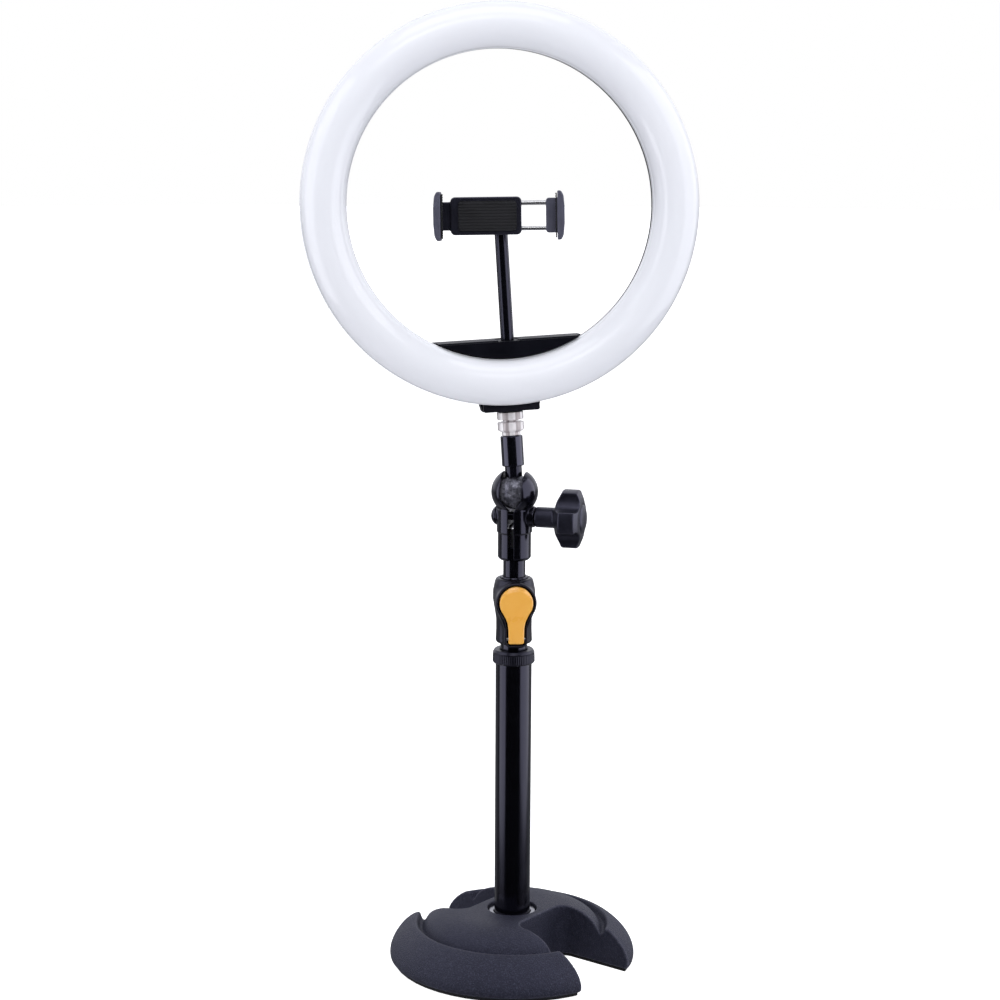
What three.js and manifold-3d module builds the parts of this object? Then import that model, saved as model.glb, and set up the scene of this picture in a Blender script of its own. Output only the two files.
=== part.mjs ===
// Table-top ring light: a heavy H-shaped base, a two-stage telescopic column with a
// twist collar and a push-lever clutch, a split ball joint with a cross knob, and a
// tilting head that carries the light ring and a turning phone holder.
// Millimetres, +Z up. The origin is on the column's axis, at floor level under the
// base's pad. The light faces -Y and +X is to the right of somebody looking at it.
import * as THREE from "three";
import { mergeVertices } from "three/addons/utils/BufferGeometryUtils.js";
import Module from "manifold-3d";

const wasm = await Module();
wasm.setup();

// ---------------------------------------------------------------- dimensions
const GAP = 0.3; // clearance between neighbours that are cut to each other

// Base
const BASE_R = 82.6; // largest radius of the casting
const BASE_TOP = 36.1; // height of the web round the column
const PAD_T = 2; // rubber pad under the casting
const SLOT_ANGLES = [-38, 142]; // directions of the two nesting slots
const SLOT_HALF = 26; // half width of a slot
const SLOT_IN = 22; // distance of a slot's inner end from the axis
const SLOT_CORNER = 8.8;
const BORE_R = 16.5; // well in the top that the column stands in
const BORE_FLOOR = 15;
const BOLT_HOLE_R = 5.2;

// Column
const LOWER_R = 11.95, LOWER_RI = 10.6, LOWER_TOP = 208;
const MID_R = 8.8, MID_RI = 7.75, MID_BOT = 66, MID_TOP = 229;
const ROD_R = 7.3, ROD_RI = 5.9, ROD_BOT = 92, ROD_TOP = 284.3;
const COLLAR_R = 13.75, COLLAR_BOT = 206.0, COLLAR_TOP = 215.1;

// Clutch
const CLUTCH_YAW = 6; // degrees
const CLUTCH_BOT = 219.8, CLUTCH_TOP = 263.2;
const LEVER_Z = 248.6, LEVER_R = 11.0, LEVER_FRONT = -15.6, LEVER_BACK = -11.0;
const LEVER_TAIL = 5.1, LEVER_BOT = 221.4;
const PIN_Y = -12.6, PIN_Z = 224.4, PIN_R = 1.0;

// Ball joint
const JOINT_YAW = -13.6;
const BALL_Z = 320.5, BALL_R = 11.5, SOCKET_R = 15.35, SOCKET_RI = 12.9;
const CHANNEL = 7.15; // half width of the channel that the neck tilts in
const SPLIT = 1.95; // half width of the split between the two halves
const BOLT_Z = 304.3, BOLT_R = 2.9;
const NECK_R = 5.55, STEM_R = 7.25;

// Head: its own frame has its origin at the ball's centre and +Z along the stem
const HEAD_YAW = 6.8, HEAD_LEAN = -3.3, HEAD_TILT = -3.8;
const STEM_Z0 = 17.0, STEM_Z1 = 36.9, STUD_R = 4.6;
const RING_Z = 186.2, RING_Y = -23; // centre of the ring's widest plane
const RING_RO = 127.9, RING_RI = 98.3, RING_BULGE = 13.5;
const HOUSING_Y0 = -5.6, HOUSING_Y1 = 8.5; // rear housing, behind the ring's shell
const CHORD_Z = 100.2; // top edge of the crescent
const BLOCK_HALF = 18.25, BLOCK_Z = 53.6;

// Phone holder: its own frame has the stem's axis as +Z and faces -Y
const HOLDER_X = -0.3, HOLDER_Y = -12, HOLDER_PAN = -8;
const HOLDER_Z = 179.3; // height of its tilt and roll axes
const HOLDER_ROLL = 2.7; // the clamp is stored turned a little about its roll axis
const HOLDER_R = 4.25;
const JAW_HALF = 35.5; // half of the gap between the pads
const JAW_H = 15.4; // half height of a jaw

// ---------------------------------------------------------------- helpers
const rad = THREE.MathUtils.degToRad;

// A three.js geometry as a solid whose faces point out.
function solid(geo) {
  let g = geo.clone();
  g.deleteAttribute("normal");
  g.deleteAttribute("uv");
  g = mergeVertices(g, 1e-4);
  const p = g.attributes.position.array, idx = g.index.array, tri = [];
  let vol = 0;
  for (let i = 0; i < idx.length; i += 3) {
    const a = idx[i], b = idx[i + 1], c = idx[i + 2];
    if (a === b || b === c || a === c) continue;
    tri.push(a, b, c);
    const ax = p[3 * a], ay = p[3 * a + 1], az = p[3 * a + 2];
    const bx = p[3 * b], by = p[3 * b + 1], bz = p[3 * b + 2];
    const cx = p[3 * c], cy = p[3 * c + 1], cz = p[3 * c + 2];
    vol += ax * (by * cz - bz * cy) - ay * (bx * cz - bz * cx) + az * (bx * cy - by * cx);
  }
  if (vol < 0)
    for (let i = 0; i < tri.length; i += 3) [tri[i + 1], tri[i + 2]] = [tri[i + 2], tri[i + 1]];
  return new wasm.Manifold(
    new wasm.Mesh({ numProp: 3, vertProperties: new Float32Array(p), triVerts: new Uint32Array(tri) }),
  );
}
const join = (...s) => s.reduce((a, b) => a.add(b));
const cut = (a, ...s) => s.reduce((x, y) => x.subtract(y), a);

function geometryOf(s) {
  const m = s.getMesh(), n = m.numProp, v = new Float32Array((m.vertProperties.length / n) * 3);
  for (let i = 0; i < v.length / 3; i++)
    for (let k = 0; k < 3; k++) v[3 * i + k] = m.vertProperties[n * i + k];
  const g = new THREE.BufferGeometry();
  g.setAttribute("position", new THREE.BufferAttribute(v, 3));
  g.setIndex(new THREE.BufferAttribute(new Uint32Array(m.triVerts), 1));
  g.computeVertexNormals();
  return g;
}

// A profile of [radius, height] turned about Z. It starts and ends on the axis, or closes.
function turned(profile, seg = 32) {
  const pts = profile.map(([r, z]) => new THREE.Vector2(r, z));
  const onAxis = profile[0][0] === 0 && profile[profile.length - 1][0] === 0;
  if (!onAxis) pts.push(pts[0].clone());
  return new THREE.LatheGeometry(pts, seg).rotateX(Math.PI / 2);
}
const rod = (r, z0, z1, seg) => turned([[0, z0], [r, z0], [r, z1], [0, z1]], seg);
const sleeve = (ri, ro, z0, z1, seg) => turned([[ri, z0], [ro, z0], [ro, z1], [ri, z1]], seg);
const alongX = (g) => g.rotateY(Math.PI / 2); // +Z becomes +X
const alongY = (g) => g.rotateX(-Math.PI / 2); // +Z becomes +Y
const at = (g, x, y, z) => g.translate(x, y, z);
const box = (x0, y0, z0, x1, y1, z1) =>
  new THREE.BoxGeometry(x1 - x0, y1 - y0, z1 - z0).translate((x0 + x1) / 2, (y0 + y1) / 2, (z0 + z1) / 2);

// A polygon in X and Y, raised from z0 to z1.
function prism(points, z0, z1) {
  const s = new THREE.Shape(points.map(([x, y]) => new THREE.Vector2(x, y)));
  return new THREE.ExtrudeGeometry(s, { depth: z1 - z0, bevelEnabled: false }).translate(0, 0, z0);
}
// A polygon in X and Z, carried along Y from y0 to y1.
const plate = (points, y0, y1) => prism(points.map(([x, z]) => [x, -z]), y0, y1).rotateX(-Math.PI / 2);

function arc(cx, cy, r, a0, a1, n) {
  const out = [];
  for (let i = 0; i <= n; i++) {
    const a = rad(a0 + ((a1 - a0) * i) / n);
    out.push([cx + r * Math.cos(a), cy + r * Math.sin(a)]);
  }
  return out;
}
// A rectangle with round corners.
const rounded = (x0, y0, x1, y1, r, n = 4) => [
  ...arc(x1 - r, y1 - r, r, 0, 90, n), ...arc(x0 + r, y1 - r, r, 90, 180, n),
  ...arc(x0 + r, y0 + r, r, 180, 270, n), ...arc(x1 - r, y0 + r, r, 270, 360, n),
];

// ---------------------------------------------------------------- materials
const LOOK = {
  powder: [0x35363f, 0.85, 0.1], rubber: [0x1b1b1e, 0.9, 0], gloss: [0x101014, 0.28, 0.3],
  satin: [0x26262c, 0.5, 0.1], chrome: [0xd8d4d2, 0.15, 1], steel: [0xb4b4b8, 0.3, 1],
  opal: [0xeceff8, 0.3, 0], lever: [0xe2a850, 0.42, 0], brass: [0xb08a3c, 0.35, 1],
  nylon: [0x2f2f33, 0.55, 0], white: [0xdfe3e6, 0.5, 0], board: [0x1f5a3a, 0.5, 0],
  matte: [0x17171b, 0.75, 0],
};
const root = new THREE.Group();
function piece(parent, name, geo, look) {
  const s = geo.isBufferGeometry ? solid(geo) : geo;
  const [color, roughness, metalness] = LOOK[look];
  const m = new THREE.Mesh(geometryOf(s), new THREE.MeshStandardMaterial({ color, roughness, metalness }));
  m.name = name;
  parent.add(m);
  return m;
}

// ---------------------------------------------------------------- base
function slot(angle, inner, half, corner, z0, z1) {
  const pts = [
    [120, -half], [120, half],
    ...arc(inner + corner, half - corner, corner, 90, 180, 6),
    ...arc(inner + corner, -half + corner, corner, 180, 270, 6),
  ];
  return solid(prism(pts, z0, z1).rotateZ(rad(angle)));
}
const casting = turned([
  [BOLT_HOLE_R, 10], [14, 10], [14, PAD_T], [BASE_R - 2, PAD_T], [BASE_R - 0.2, 4], [BASE_R - 0.2, 8.6],
  [BASE_R - 3.2, 15], [BASE_R - 10, 22.3], [BASE_R - 16.2, 26.6], [63.6, 25.8], [62.2, 22.2], [60.2, 22.4],
  [57.3, 27.3], [53.3, 31.1], [45.4, 34.9], [35.5, BASE_TOP],
  [BORE_R + 0.7, BASE_TOP], [BORE_R, BASE_TOP - 0.7], [BORE_R, BORE_FLOOR], [BOLT_HOLE_R, BORE_FLOOR],
], 48);
piece(root, "base_casting",
  cut(solid(casting), ...SLOT_ANGLES.map((a) => slot(a, SLOT_IN, SLOT_HALF, SLOT_CORNER, -1, 60))), "powder");
piece(root, "base_pad",
  cut(solid(turned([[0, 0], [BASE_R - 3.4, 0], [BASE_R - 2.8, 0.5], [BASE_R - 2.8, PAD_T], [0, PAD_T]], 48)),
    ...SLOT_ANGLES.map((a) => slot(a, SLOT_IN - 1, SLOT_HALF + 1, SLOT_CORNER, -1, 4))), "rubber");
piece(root, "bolt_washer", sleeve(BOLT_HOLE_R, 11.5, 8.4, 10, 24), "steel");
piece(root, "column_bolt",
  join(solid(rod(9.8, PAD_T + 0.4, 8.4, 6)), solid(rod(4.9, 8, 30, 16))), "steel");
piece(root, "bore_ring",
  turned([[LOWER_R + GAP, BORE_FLOOR], [BORE_R - GAP, BORE_FLOOR], [BORE_R - GAP, BASE_TOP - 3.2], [BORE_R - 1.2, BASE_TOP - 2.2],
    [LOWER_R + 1, BASE_TOP - 2.2], [LOWER_R + GAP, BASE_TOP - 2.9]], 24), "chrome");
piece(root, "lower_tube", sleeve(LOWER_RI, LOWER_R, BORE_FLOOR, LOWER_TOP, 32), "gloss");
piece(root, "tube_plug", sleeve(BOLT_HOLE_R, LOWER_RI - GAP, BORE_FLOOR, 33, 16), "steel");
piece(root, "tube_top_bush", sleeve(MID_R + GAP, LOWER_RI - GAP, 180, LOWER_TOP, 24), "nylon");

// ---------------------------------------------------------------- twist collar
piece(root, "twist_collar",
  turned([[LOWER_R + GAP, COLLAR_BOT], [COLLAR_R - 0.6, COLLAR_BOT], [COLLAR_R, COLLAR_BOT + 0.7],
    [COLLAR_R, COLLAR_TOP - 1.5], [COLLAR_R - 0.9, COLLAR_TOP], [MID_R + 0.9, COLLAR_TOP],
    [MID_R + 0.4, COLLAR_TOP - 0.5], [MID_R + 0.4, LOWER_TOP + 1], [LOWER_R + GAP, LOWER_TOP + 1]], 28), "satin");

// ---------------------------------------------------------------- middle tube
piece(root, "mid_foot_bush",
  turned([[6, 60], [LOWER_RI - GAP, 60], [LOWER_RI - GAP, 76], [MID_R + GAP, 76], [MID_R + GAP, MID_BOT - GAP],
    [6, MID_BOT - GAP]], 24), "nylon");
piece(root, "mid_tube", sleeve(MID_RI, MID_R, MID_BOT, MID_TOP, 28), "gloss");

// ---------------------------------------------------------------- push-lever clutch
const clutch = new THREE.Group();
clutch.rotation.z = rad(CLUTCH_YAW);
root.add(clutch);
const barrel = solid(turned([
  [0, CLUTCH_BOT], [11.2, CLUTCH_BOT], [12.05, CLUTCH_BOT + 1.1], [11.8, 236], [12.8, 242], [14.1, 249.5],
  [13.9, 255], [12.9, 260], [12.3, 262.3], [11.2, CLUTCH_TOP], [0, CLUTCH_TOP]], 24));
const bezel = solid(at(alongY(rod(13.5, -14.3, -5, 28)), 0, 0, LEVER_Z));
const trough = solid(plate([[-7.7, 218.6], [7.7, 218.6], [7.7, 232], [11.2, 243], [-11.2, 243], [-7.7, 232]], -14.3, -5));
const leverShape = (g) => [ // outline of the lever, grown by g
  ...arc(0, LEVER_Z, LEVER_R + g, -38, 218, 14),
  [-(LEVER_TAIL + 0.9 + g), 236.4], [-(LEVER_TAIL + g), 232],
  ...arc(-LEVER_TAIL + 1.2, LEVER_BOT + 1.2, 1.2 + g, 180, 270, 2),
  ...arc(LEVER_TAIL - 1.2, LEVER_BOT + 1.2, 1.2 + g, 270, 360, 2),
  [LEVER_TAIL + g, 232], [LEVER_TAIL + 0.9 + g, 236.4],
];
const pinHole = solid(at(alongX(rod(PIN_R + GAP, -20, 20, 12)), 0, PIN_Y, PIN_Z));
piece(clutch, "clutch_housing",
  cut(join(barrel, bezel, trough),
    solid(rod(ROD_R + 0.4, CLUTCH_BOT - 5, CLUTCH_TOP + 5, 24)),
    solid(rod(MID_R + GAP, CLUTCH_BOT - 5, MID_TOP + GAP, 28)),
    solid(rod(9.9, 231, 240, 20)),
    solid(rod(9.3, 258, CLUTCH_TOP + 5, 24)),
    solid(plate(leverShape(0.55), -20, -8.75)),
    solid(at(alongX(rod(PIN_R + GAP, -7.3, 7.3, 12)), 0, PIN_Y, PIN_Z))), "satin");
piece(clutch, "clutch_top_bush",
  turned([[ROD_R + GAP, 258.3], [9.0, 258.3], [9.0, 264.3], [ROD_R + GAP, 264.3]], 24), "satin");
piece(clutch, "clutch_spring_washer", sleeve(ROD_R + 0.5, 9.4, 231.3, 232.1, 16), "steel");
piece(clutch, "lever_pin", at(alongX(rod(PIN_R, -7.0, 7.0, 12)), 0, PIN_Y, PIN_Z), "steel");
piece(clutch, "clutch_lever",
  cut(solid(plate(leverShape(0), LEVER_FRONT, LEVER_BACK)), pinHole), "lever");
piece(clutch, "lock_plate", sleeve(ROD_R + 0.5, 9.4, 234.5, 236.3, 20), "steel");

// ---------------------------------------------------------------- inner rod
piece(root, "rod_foot_bush",
  turned([[0, 86], [MID_RI - 0.25, 86], [MID_RI - 0.25, ROD_BOT - GAP], [ROD_RI - GAP, ROD_BOT - GAP],
    [ROD_RI - GAP, 104], [0, 104]], 24), "nylon");
piece(root, "inner_rod", sleeve(ROD_RI, ROD_R, ROD_BOT, ROD_TOP, 24), "gloss");
piece(root, "rod_spigot",
  turned([[0, 262], [ROD_RI - GAP, 262], [ROD_RI - GAP, ROD_TOP + GAP], [7.0, ROD_TOP + GAP], [7.0, 296.8],
    [6.4, 297.5], [0, 297.5]], 24), "steel");

// ---------------------------------------------------------------- split ball joint
const joint = new THREE.Group();
joint.rotation.z = rad(JOINT_YAW);
root.add(joint);
const ball = (r, z, n = 10, seg = 24) => turned(
  Array.from({ length: n + 1 }, (_, i) => {
    const a = -Math.PI / 2 + (Math.PI * i) / n;
    return [i === 0 || i === n ? 0 : r * Math.cos(a), z + r * Math.sin(a)];
  }), seg);
const shell = cut(
  join(
    solid(turned([[0, 275.5], [9.6, 275.5], [10.9, 277], [10.9, 293.5], [11.62, 294], [11.62, 309], [11, 312], [0, 312]], 24)),
    solid(ball(SOCKET_R, BALL_Z)),
    solid(at(alongX(rod(6.9, 6, 14.0, 20)), 0, 0, BOLT_Z)),
    solid(at(alongX(rod(6.6, -11.6, -6, 20)), 0, 0, BOLT_Z)),
  ),
  solid(rod(ROD_R + GAP, 270, 299, 24)),
  solid(ball(SOCKET_RI, BALL_Z)),
  solid(plate([[-CHANNEL, 316], [-SPLIT, 309.2], [SPLIT, 309.2], [CHANNEL, 316], [CHANNEL, 345], [-CHANNEL, 345]], -30, 30)),
  solid(at(alongX(rod(BOLT_R + GAP, -20, 20, 16)), 0, 0, BOLT_Z)),
);
const far = 60;
piece(joint, "socket_half_left", cut(shell, solid(box(-SPLIT, -far, 200, far, far, 400))), "gloss");
piece(joint, "socket_half_right", cut(shell, solid(box(-far, -far, 200, SPLIT, far, 400))), "gloss");
piece(joint, "clamp_bolt",
  cut(join(solid(at(alongX(rod(BOLT_R, -12.2, 31, 16)), 0, 0, BOLT_Z)),
    solid(at(alongX(turned([[0, -15.9], [2.6, -15.7], [4.9, -14.7], [6.0, -13.2], [6.2, -11.9], [0, -11.9]], 24)), 0, 0, BOLT_Z))),
    solid(at(alongX(rod(2.9, -17, -13.9, 6)), 0, 0, BOLT_Z))), "gloss");

const knobProfile = [[0, 28.2], [8.2, 28.2], [9.6, 28.8], [13.6, 30.0], [18.4, 31.0], [19.2, 32.2], [19.2, 40.6],
  [18.2, 42.4], [15.0, 44.4], [11.4, 45.6], [0, 45.6]];
const knobBody = cut(
  join(solid(alongX(turned(knobProfile, 28))), solid(alongX(turned([[0, 14.3], [6.2, 14.3], [6.7, 15], [6.7, 29], [0, 29]], 20)))),
  ...[45, 135, 225, 315].map((a) =>
    solid(alongX(rod(7.3, 20, 55, 14)).translate(0, 21 * Math.cos(rad(a)), 21 * Math.sin(rad(a))))),
  solid(alongX(rod(5.3, 10, 31.6, 16))),
  solid(alongX(rod(10.0, 44.4, 60, 20))),
);
const knobGeo = geometryOf(knobBody).translate(0, 0, BOLT_Z);
piece(joint, "clamp_knob", knobGeo, "satin");
piece(joint, "knob_cap",
  at(alongX(turned([[0, 44.7], [9.7, 44.7], [9.7, 45.7], [8.6, 46.5], [5, 47.4], [0, 47.8]], 20)), 0, 0, BOLT_Z), "satin");
piece(joint, "knob_insert", at(alongX(sleeve(BOLT_R + GAP, 5.0, 15, 31.3, 16)), 0, 0, BOLT_Z), "brass");

// Friction seats between the ball and the two halves: caps of a sphere about the tilt axis.
function seat(sign) {
  const ri = BALL_R + 0.45, ro = SOCKET_RI - 0.35, x0 = CHANNEL + 0.2, n = 4, pts = [];
  const ai = Math.acos(x0 / ri), ao = Math.acos(x0 / ro);
  for (let i = 0; i <= n; i++) pts.push([ro * Math.sin((ao * i) / n), ro * Math.cos((ao * i) / n)]);
  for (let i = n; i >= 0; i--) pts.push([ri * Math.sin((ai * i) / n), ri * Math.cos((ai * i) / n)]);
  pts[0][0] = 0;
  pts[pts.length - 1][0] = 0;
  const g = alongX(turned(pts, 16));
  return at(sign < 0 ? g.rotateZ(Math.PI) : g, 0, 0, BALL_Z);
}
piece(joint, "ball_seat_left", seat(-1), "nylon");
piece(joint, "ball_seat_right", seat(1), "nylon");

// ---------------------------------------------------------------- head
const head = new THREE.Group();
head.position.set(0, 0, BALL_Z);
head.rotation.set(rad(HEAD_TILT), rad(HEAD_LEAN), rad(HEAD_YAW), "ZYX");
root.add(head);

const ballPts = [];
for (let i = 0, n = 8, end = Math.acos(NECK_R / BALL_R); i <= n; i++) {
  const a = -Math.PI / 2 + ((end + Math.PI / 2) * i) / n;
  ballPts.push([i ? BALL_R * Math.cos(a) : 0, BALL_R * Math.sin(a)]);
}
piece(head, "ball_stem",
  turned([...ballPts, [NECK_R, STEM_Z0], [STEM_R - 0.5, STEM_Z0], [STEM_R, STEM_Z0 + 0.6], [STEM_R, STEM_Z1 - 0.5],
    [STEM_R - 0.4, STEM_Z1], [STUD_R, STEM_Z1], [STUD_R, 45], [0, 45]], 24), "gloss");
const facets = (z0, z1) => turned([[0, z0], [7.9, z0], [8.75, z0 + 0.8], [8.75, z1 - 0.6], [8.2, z1], [0, z1]], 12);
piece(head, "threaded_adapter",
  cut(join(
    solid(turned([[0, 37.2], [6.1, 37.2], [6.1, 40.6], [7.6, 41.2], [7.6, 47.2], [3.1, 47.2], [3.1, 60.5], [0, 60.5]], 20)),
    solid(facets(39.9, 46.0))),
    solid(rod(STUD_R + GAP, 30, 45.3, 20))), "chrome");
piece(head, "adapter_lock_nut", cut(solid(facets(47.5, 52.5)), solid(rod(3.1 + GAP, 40, 60, 16))), "chrome");
piece(head, "adapter_washer", sleeve(3.1 + GAP, 8.2, 52.75, 53.3, 24), "rubber");

// Crescent: the part of the ring's inside below the chord.
const RC = RING_RI - 0.7;
const crescent = (r, top) => {
  const a = Math.acos((RING_Z - top) / r) * (180 / Math.PI);
  return arc(0, RING_Z, r, 270 - a, 270 + a, 12);
};
const OUTLINE = [[-BLOCK_HALF, BLOCK_Z], [BLOCK_HALF, BLOCK_Z], [20.5, 62], [43, 88], [48.3, 95], [48.3, CHORD_Z],
  [-48.3, CHORD_Z], [-48.3, 95], [-43, 88], [-20.5, 62]];
const INNER = [[-15.5, 56.6], [15.5, 56.6], [18.5, 63.2], [40.5, 88.6], [45.3, 95.6], [45.3, 96.2],
  [-45.3, 96.2], [-45.3, 95.6], [-40.5, 88.6], [-18.5, 63.2]];
const BUTTONS = [["button_dimmer", -11], ["button_power", 0], ["button_brighter", 11]];
const BUTTON_Z = 88, INLET_Z = 73.8;
const SCREWS = [[-41, 92.6], [41, 92.6], [-13.4, 58.6 + 0.6], [13.4, 58.6 + 0.6]];
const Y0 = HOUSING_Y0, Y1 = HOUSING_Y1;
const bracket = cut(
  join(
    solid(plate(crescent(RC, CHORD_Z), RING_Y + 2.6, Y0 + 1)),
    solid(plate(OUTLINE, Y0, Y1)),
    solid(plate([[-BLOCK_HALF + 0.8, BLOCK_Z], [BLOCK_HALF - 0.8, BLOCK_Z], [BLOCK_HALF, BLOCK_Z + 0.8],
      [BLOCK_HALF, 61], [-BLOCK_HALF, 61], [-BLOCK_HALF, BLOCK_Z + 0.8]], -12, Y1)),
  ),
  // room for the ring's rear shell and diffuser, which pass in front of the rear housing
  solid(alongY(sleeve(RC, RING_RO + 0.4, -40, Y0 - RING_Y, 48)).translate(0, RING_Y, RING_Z)),
);
// socket that the holder's stem stands in, hollow for the driver board, pocket for the thread insert
const bracketBody = cut(bracket,
  solid(rod(HOLDER_R + 0.35, 89.6, 110, 20).translate(HOLDER_X, HOLDER_Y, 0)),
  solid(box(HOLDER_X - 7, -30, CHORD_Z - 0.7, HOLDER_X + 7, 30, CHORD_Z + 5)),
  cut(solid(plate(INNER, Y0 + 2, 30)),
    ...SCREWS.map(([x, z]) => solid(at(alongY(rod(3.2, -10, 40, 16)), x, 0, z))),
    solid(box(-9.5, -10, BLOCK_Z, 9.5, 7, 66.5))),
  ...SCREWS.map(([x, z]) => solid(at(alongY(rod(1.4, Y1 - 5, 40, 12)), x, 0, z))),
  solid(rod(3.1 + GAP, 50, 61, 20)),
  solid(rod(5.6, BLOCK_Z + 1.4, 62, 6)),
);
piece(head, "mount_bracket", bracketBody, "matte");
piece(head, "thread_insert",
  cut(solid(rod(5.2, BLOCK_Z + 1.7, 61.7, 6)), solid(rod(3.1 + GAP, 40, 70, 16))), "brass");
piece(head, "crescent_cover",
  cut(solid(plate(crescent(RC - 0.2, CHORD_Z - 0.9), RING_Y + 0.7, RING_Y + 2.3)),
    solid(box(-80, -40, CHORD_Z - 0.9, 80, 20, 120))), "matte");
piece(head, "rear_cover",
  cut(solid(plate(OUTLINE.map(([x, z]) => [x * 0.985, z]), Y1 + GAP, Y1 + 2.1)),
    ...BUTTONS.map(([, x]) => solid(at(alongY(rod(3.4, 0, 30, 20)), x, 0, BUTTON_Z))),
    ...SCREWS.map(([x, z]) => solid(at(alongY(rod(1.7, 0, 30, 12)), x, 0, z))),
    solid(plate(rounded(-8.3, INLET_Z - 5.3, 8.3, INLET_Z + 5.3, 2), 0, 30))), "matte");
SCREWS.forEach(([x, z], i) => piece(head, "cover_screw_" + (i + 1),
  at(alongY(turned([[0, Y1 - 4.4], [1.1, Y1 - 4.4], [1.1, Y1 + 2.4], [2.7, Y1 + 2.4], [2.7, Y1 + 3], [1.9, Y1 + 3.6],
    [0, Y1 + 3.8]], 12)), x, 0, z), "steel"));
piece(head, "driver_board", box(-27, Y0 + 3.2, 76, 27, Y0 + 4.6, 94), "board");
piece(head, "power_inlet",
  cut(solid(plate(rounded(-8, INLET_Z - 5, 8, INLET_Z + 5, 1.8), 0.8, Y1 + 2.7)),
    solid(plate(rounded(-6.6, INLET_Z - 3.6, 6.6, INLET_Z + 3.6, 1.6), 2.2, 30))), "nylon");
BUTTONS.forEach(([name, x]) => piece(head, name,
  at(alongY(turned([[0, Y1 - 1.1], [4.4, Y1 - 1.1], [4.4, Y1 - 0.1], [3.1, Y1 - 0.1], [3.1, Y1 + 3], [2.5, Y1 + 3.5], [0, Y1 + 3.5]], 16)),
    x, 0, BUTTON_Z), "rubber"));

// Ring: rear tray, light board and the opal tube in front of them
const ringPart = (g) => alongY(g).translate(0, RING_Y, RING_Z);
piece(head, "ring_rear_shell",
  ringPart(turned([[RING_RI + 0.4, 7.8], [RING_RI + 2.4, 7.8], [RING_RI + 2.4, 15], [RING_RO - 2.4, 15], [RING_RO - 2.4, 7.8],
    [RING_RO - 0.4, 7.8], [RING_RO - 0.4, 15], [RING_RO - 2.4, 17], [RING_RI + 2.4, 17], [RING_RI + 0.4, 15]], 44)), "matte");
piece(head, "led_board", ringPart(sleeve(RING_RI + 3.2, RING_RO - 3.2, 13, 14.5, 44)), "white");
const rm = (RING_RO + RING_RI) / 2, hw = (RING_RO - RING_RI) / 2, T = 1.8;
const half = (w, d, n) => Array.from({ length: n + 1 }, (_, i) => {
  const a = (Math.PI * i) / n;
  return [rm + w * Math.cos(a), -d * Math.sin(a)];
});
piece(head, "diffuser",
  ringPart(turned([[RING_RO, 7.5], ...half(hw, RING_BULGE, 7), [RING_RI, 7.5], [RING_RI + T, 7.5],
    ...half(hw - T, RING_BULGE - T, 5).reverse(), [RING_RO - T, 7.5]], 44)), "opal");

// ---------------------------------------------------------------- phone holder
const holder = new THREE.Group();
holder.position.set(HOLDER_X, HOLDER_Y, 0);
holder.rotation.z = rad(HOLDER_PAN);
head.add(holder);
const HZ = HOLDER_Z;
piece(holder, "holder_stem",
  join(solid(turned([[0, 90], [HOLDER_R, 90], [HOLDER_R, HZ - 8.6], [3.2, HZ - 7], [0, HZ - 7]], 20)),
    solid(at(alongX(rod(5.4, -2.5, 2.5, 24)), 0, 0, HZ)), solid(box(-2.5, -3.0, HZ - 9, 2.5, 3.0, HZ))), "gloss");
piece(holder, "holder_knuckle",
  cut(join(
    solid(at(alongX(rod(5.8, -5.4, 5.4, 24)), 0, 0, HZ)), solid(box(-5.4, -8.6, HZ - 5.2, 5.4, -3, HZ + 5.2)),
    solid(at(alongY(rod(6.2, -9.2, -6.4, 24)), 0, 0, HZ)), solid(at(alongY(rod(2.6, -14.2, -6, 16)), 0, 0, HZ))),
    solid(box(-2.8, -6.1, HZ - 20, 2.8, 20, HZ + 20))), "satin");
const turning = new THREE.Group();
turning.position.z = HZ;
turning.rotation.y = rad(HOLDER_ROLL);
holder.add(turning);
const clamp = new THREE.Group();
clamp.position.z = -HZ;
turning.add(clamp);
piece(clamp, "holder_back",
  cut(join(solid(plate(rounded(-31, HZ - 12, 14, HZ + 12, 3), -17, -9.5)),
    solid(plate(rounded(-JAW_HALF - 3, HZ - 9, -28, HZ + 9, 2), -15, -10.5))),
    solid(at(alongY(rod(2.6 + GAP, -14.6, 0, 16)), 0, 0, HZ)),
    ...[-8, 8].map((d) => solid(at(alongX(rod(1.7, -28, 20, 12)), 0, -13.2, HZ + d)))), "satin");
piece(clamp, "holder_back_pad", plate(rounded(-26, HZ - 9.5, 11, HZ + 9.5, 2.5), -18.3, -17.3), "rubber");
const jaw = (s) => { // s = -1 left, +1 right; inner face, outer side bowed, ends rounded
  const o = JAW_HALF + 1.3, w = JAW_HALF + 5.9;
  const side = [[s * o, HZ - JAW_H], [s * (w - 2.6), HZ - JAW_H], [s * (w - 0.8), HZ - JAW_H + 2.4], [s * w, HZ - 5],
    [s * w, HZ + 5], [s * (w - 0.8), HZ + JAW_H - 2.4], [s * (w - 2.6), HZ + JAW_H], [s * o, HZ + JAW_H]];
  return solid(plate(s < 0 ? side.slice().reverse() : side, -29, -10.5));
};
piece(clamp, "left_jaw", cut(jaw(-1), solid(plate(rounded(-JAW_HALF - 3.3, HZ - 9.3, -20, HZ + 9.3, 2), -15.3, 0))), "satin");
piece(clamp, "left_jaw_pad", box(-JAW_HALF - 1.0, -27.6, HZ - 14, -JAW_HALF, -18.6, HZ + 14), "rubber");
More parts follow.
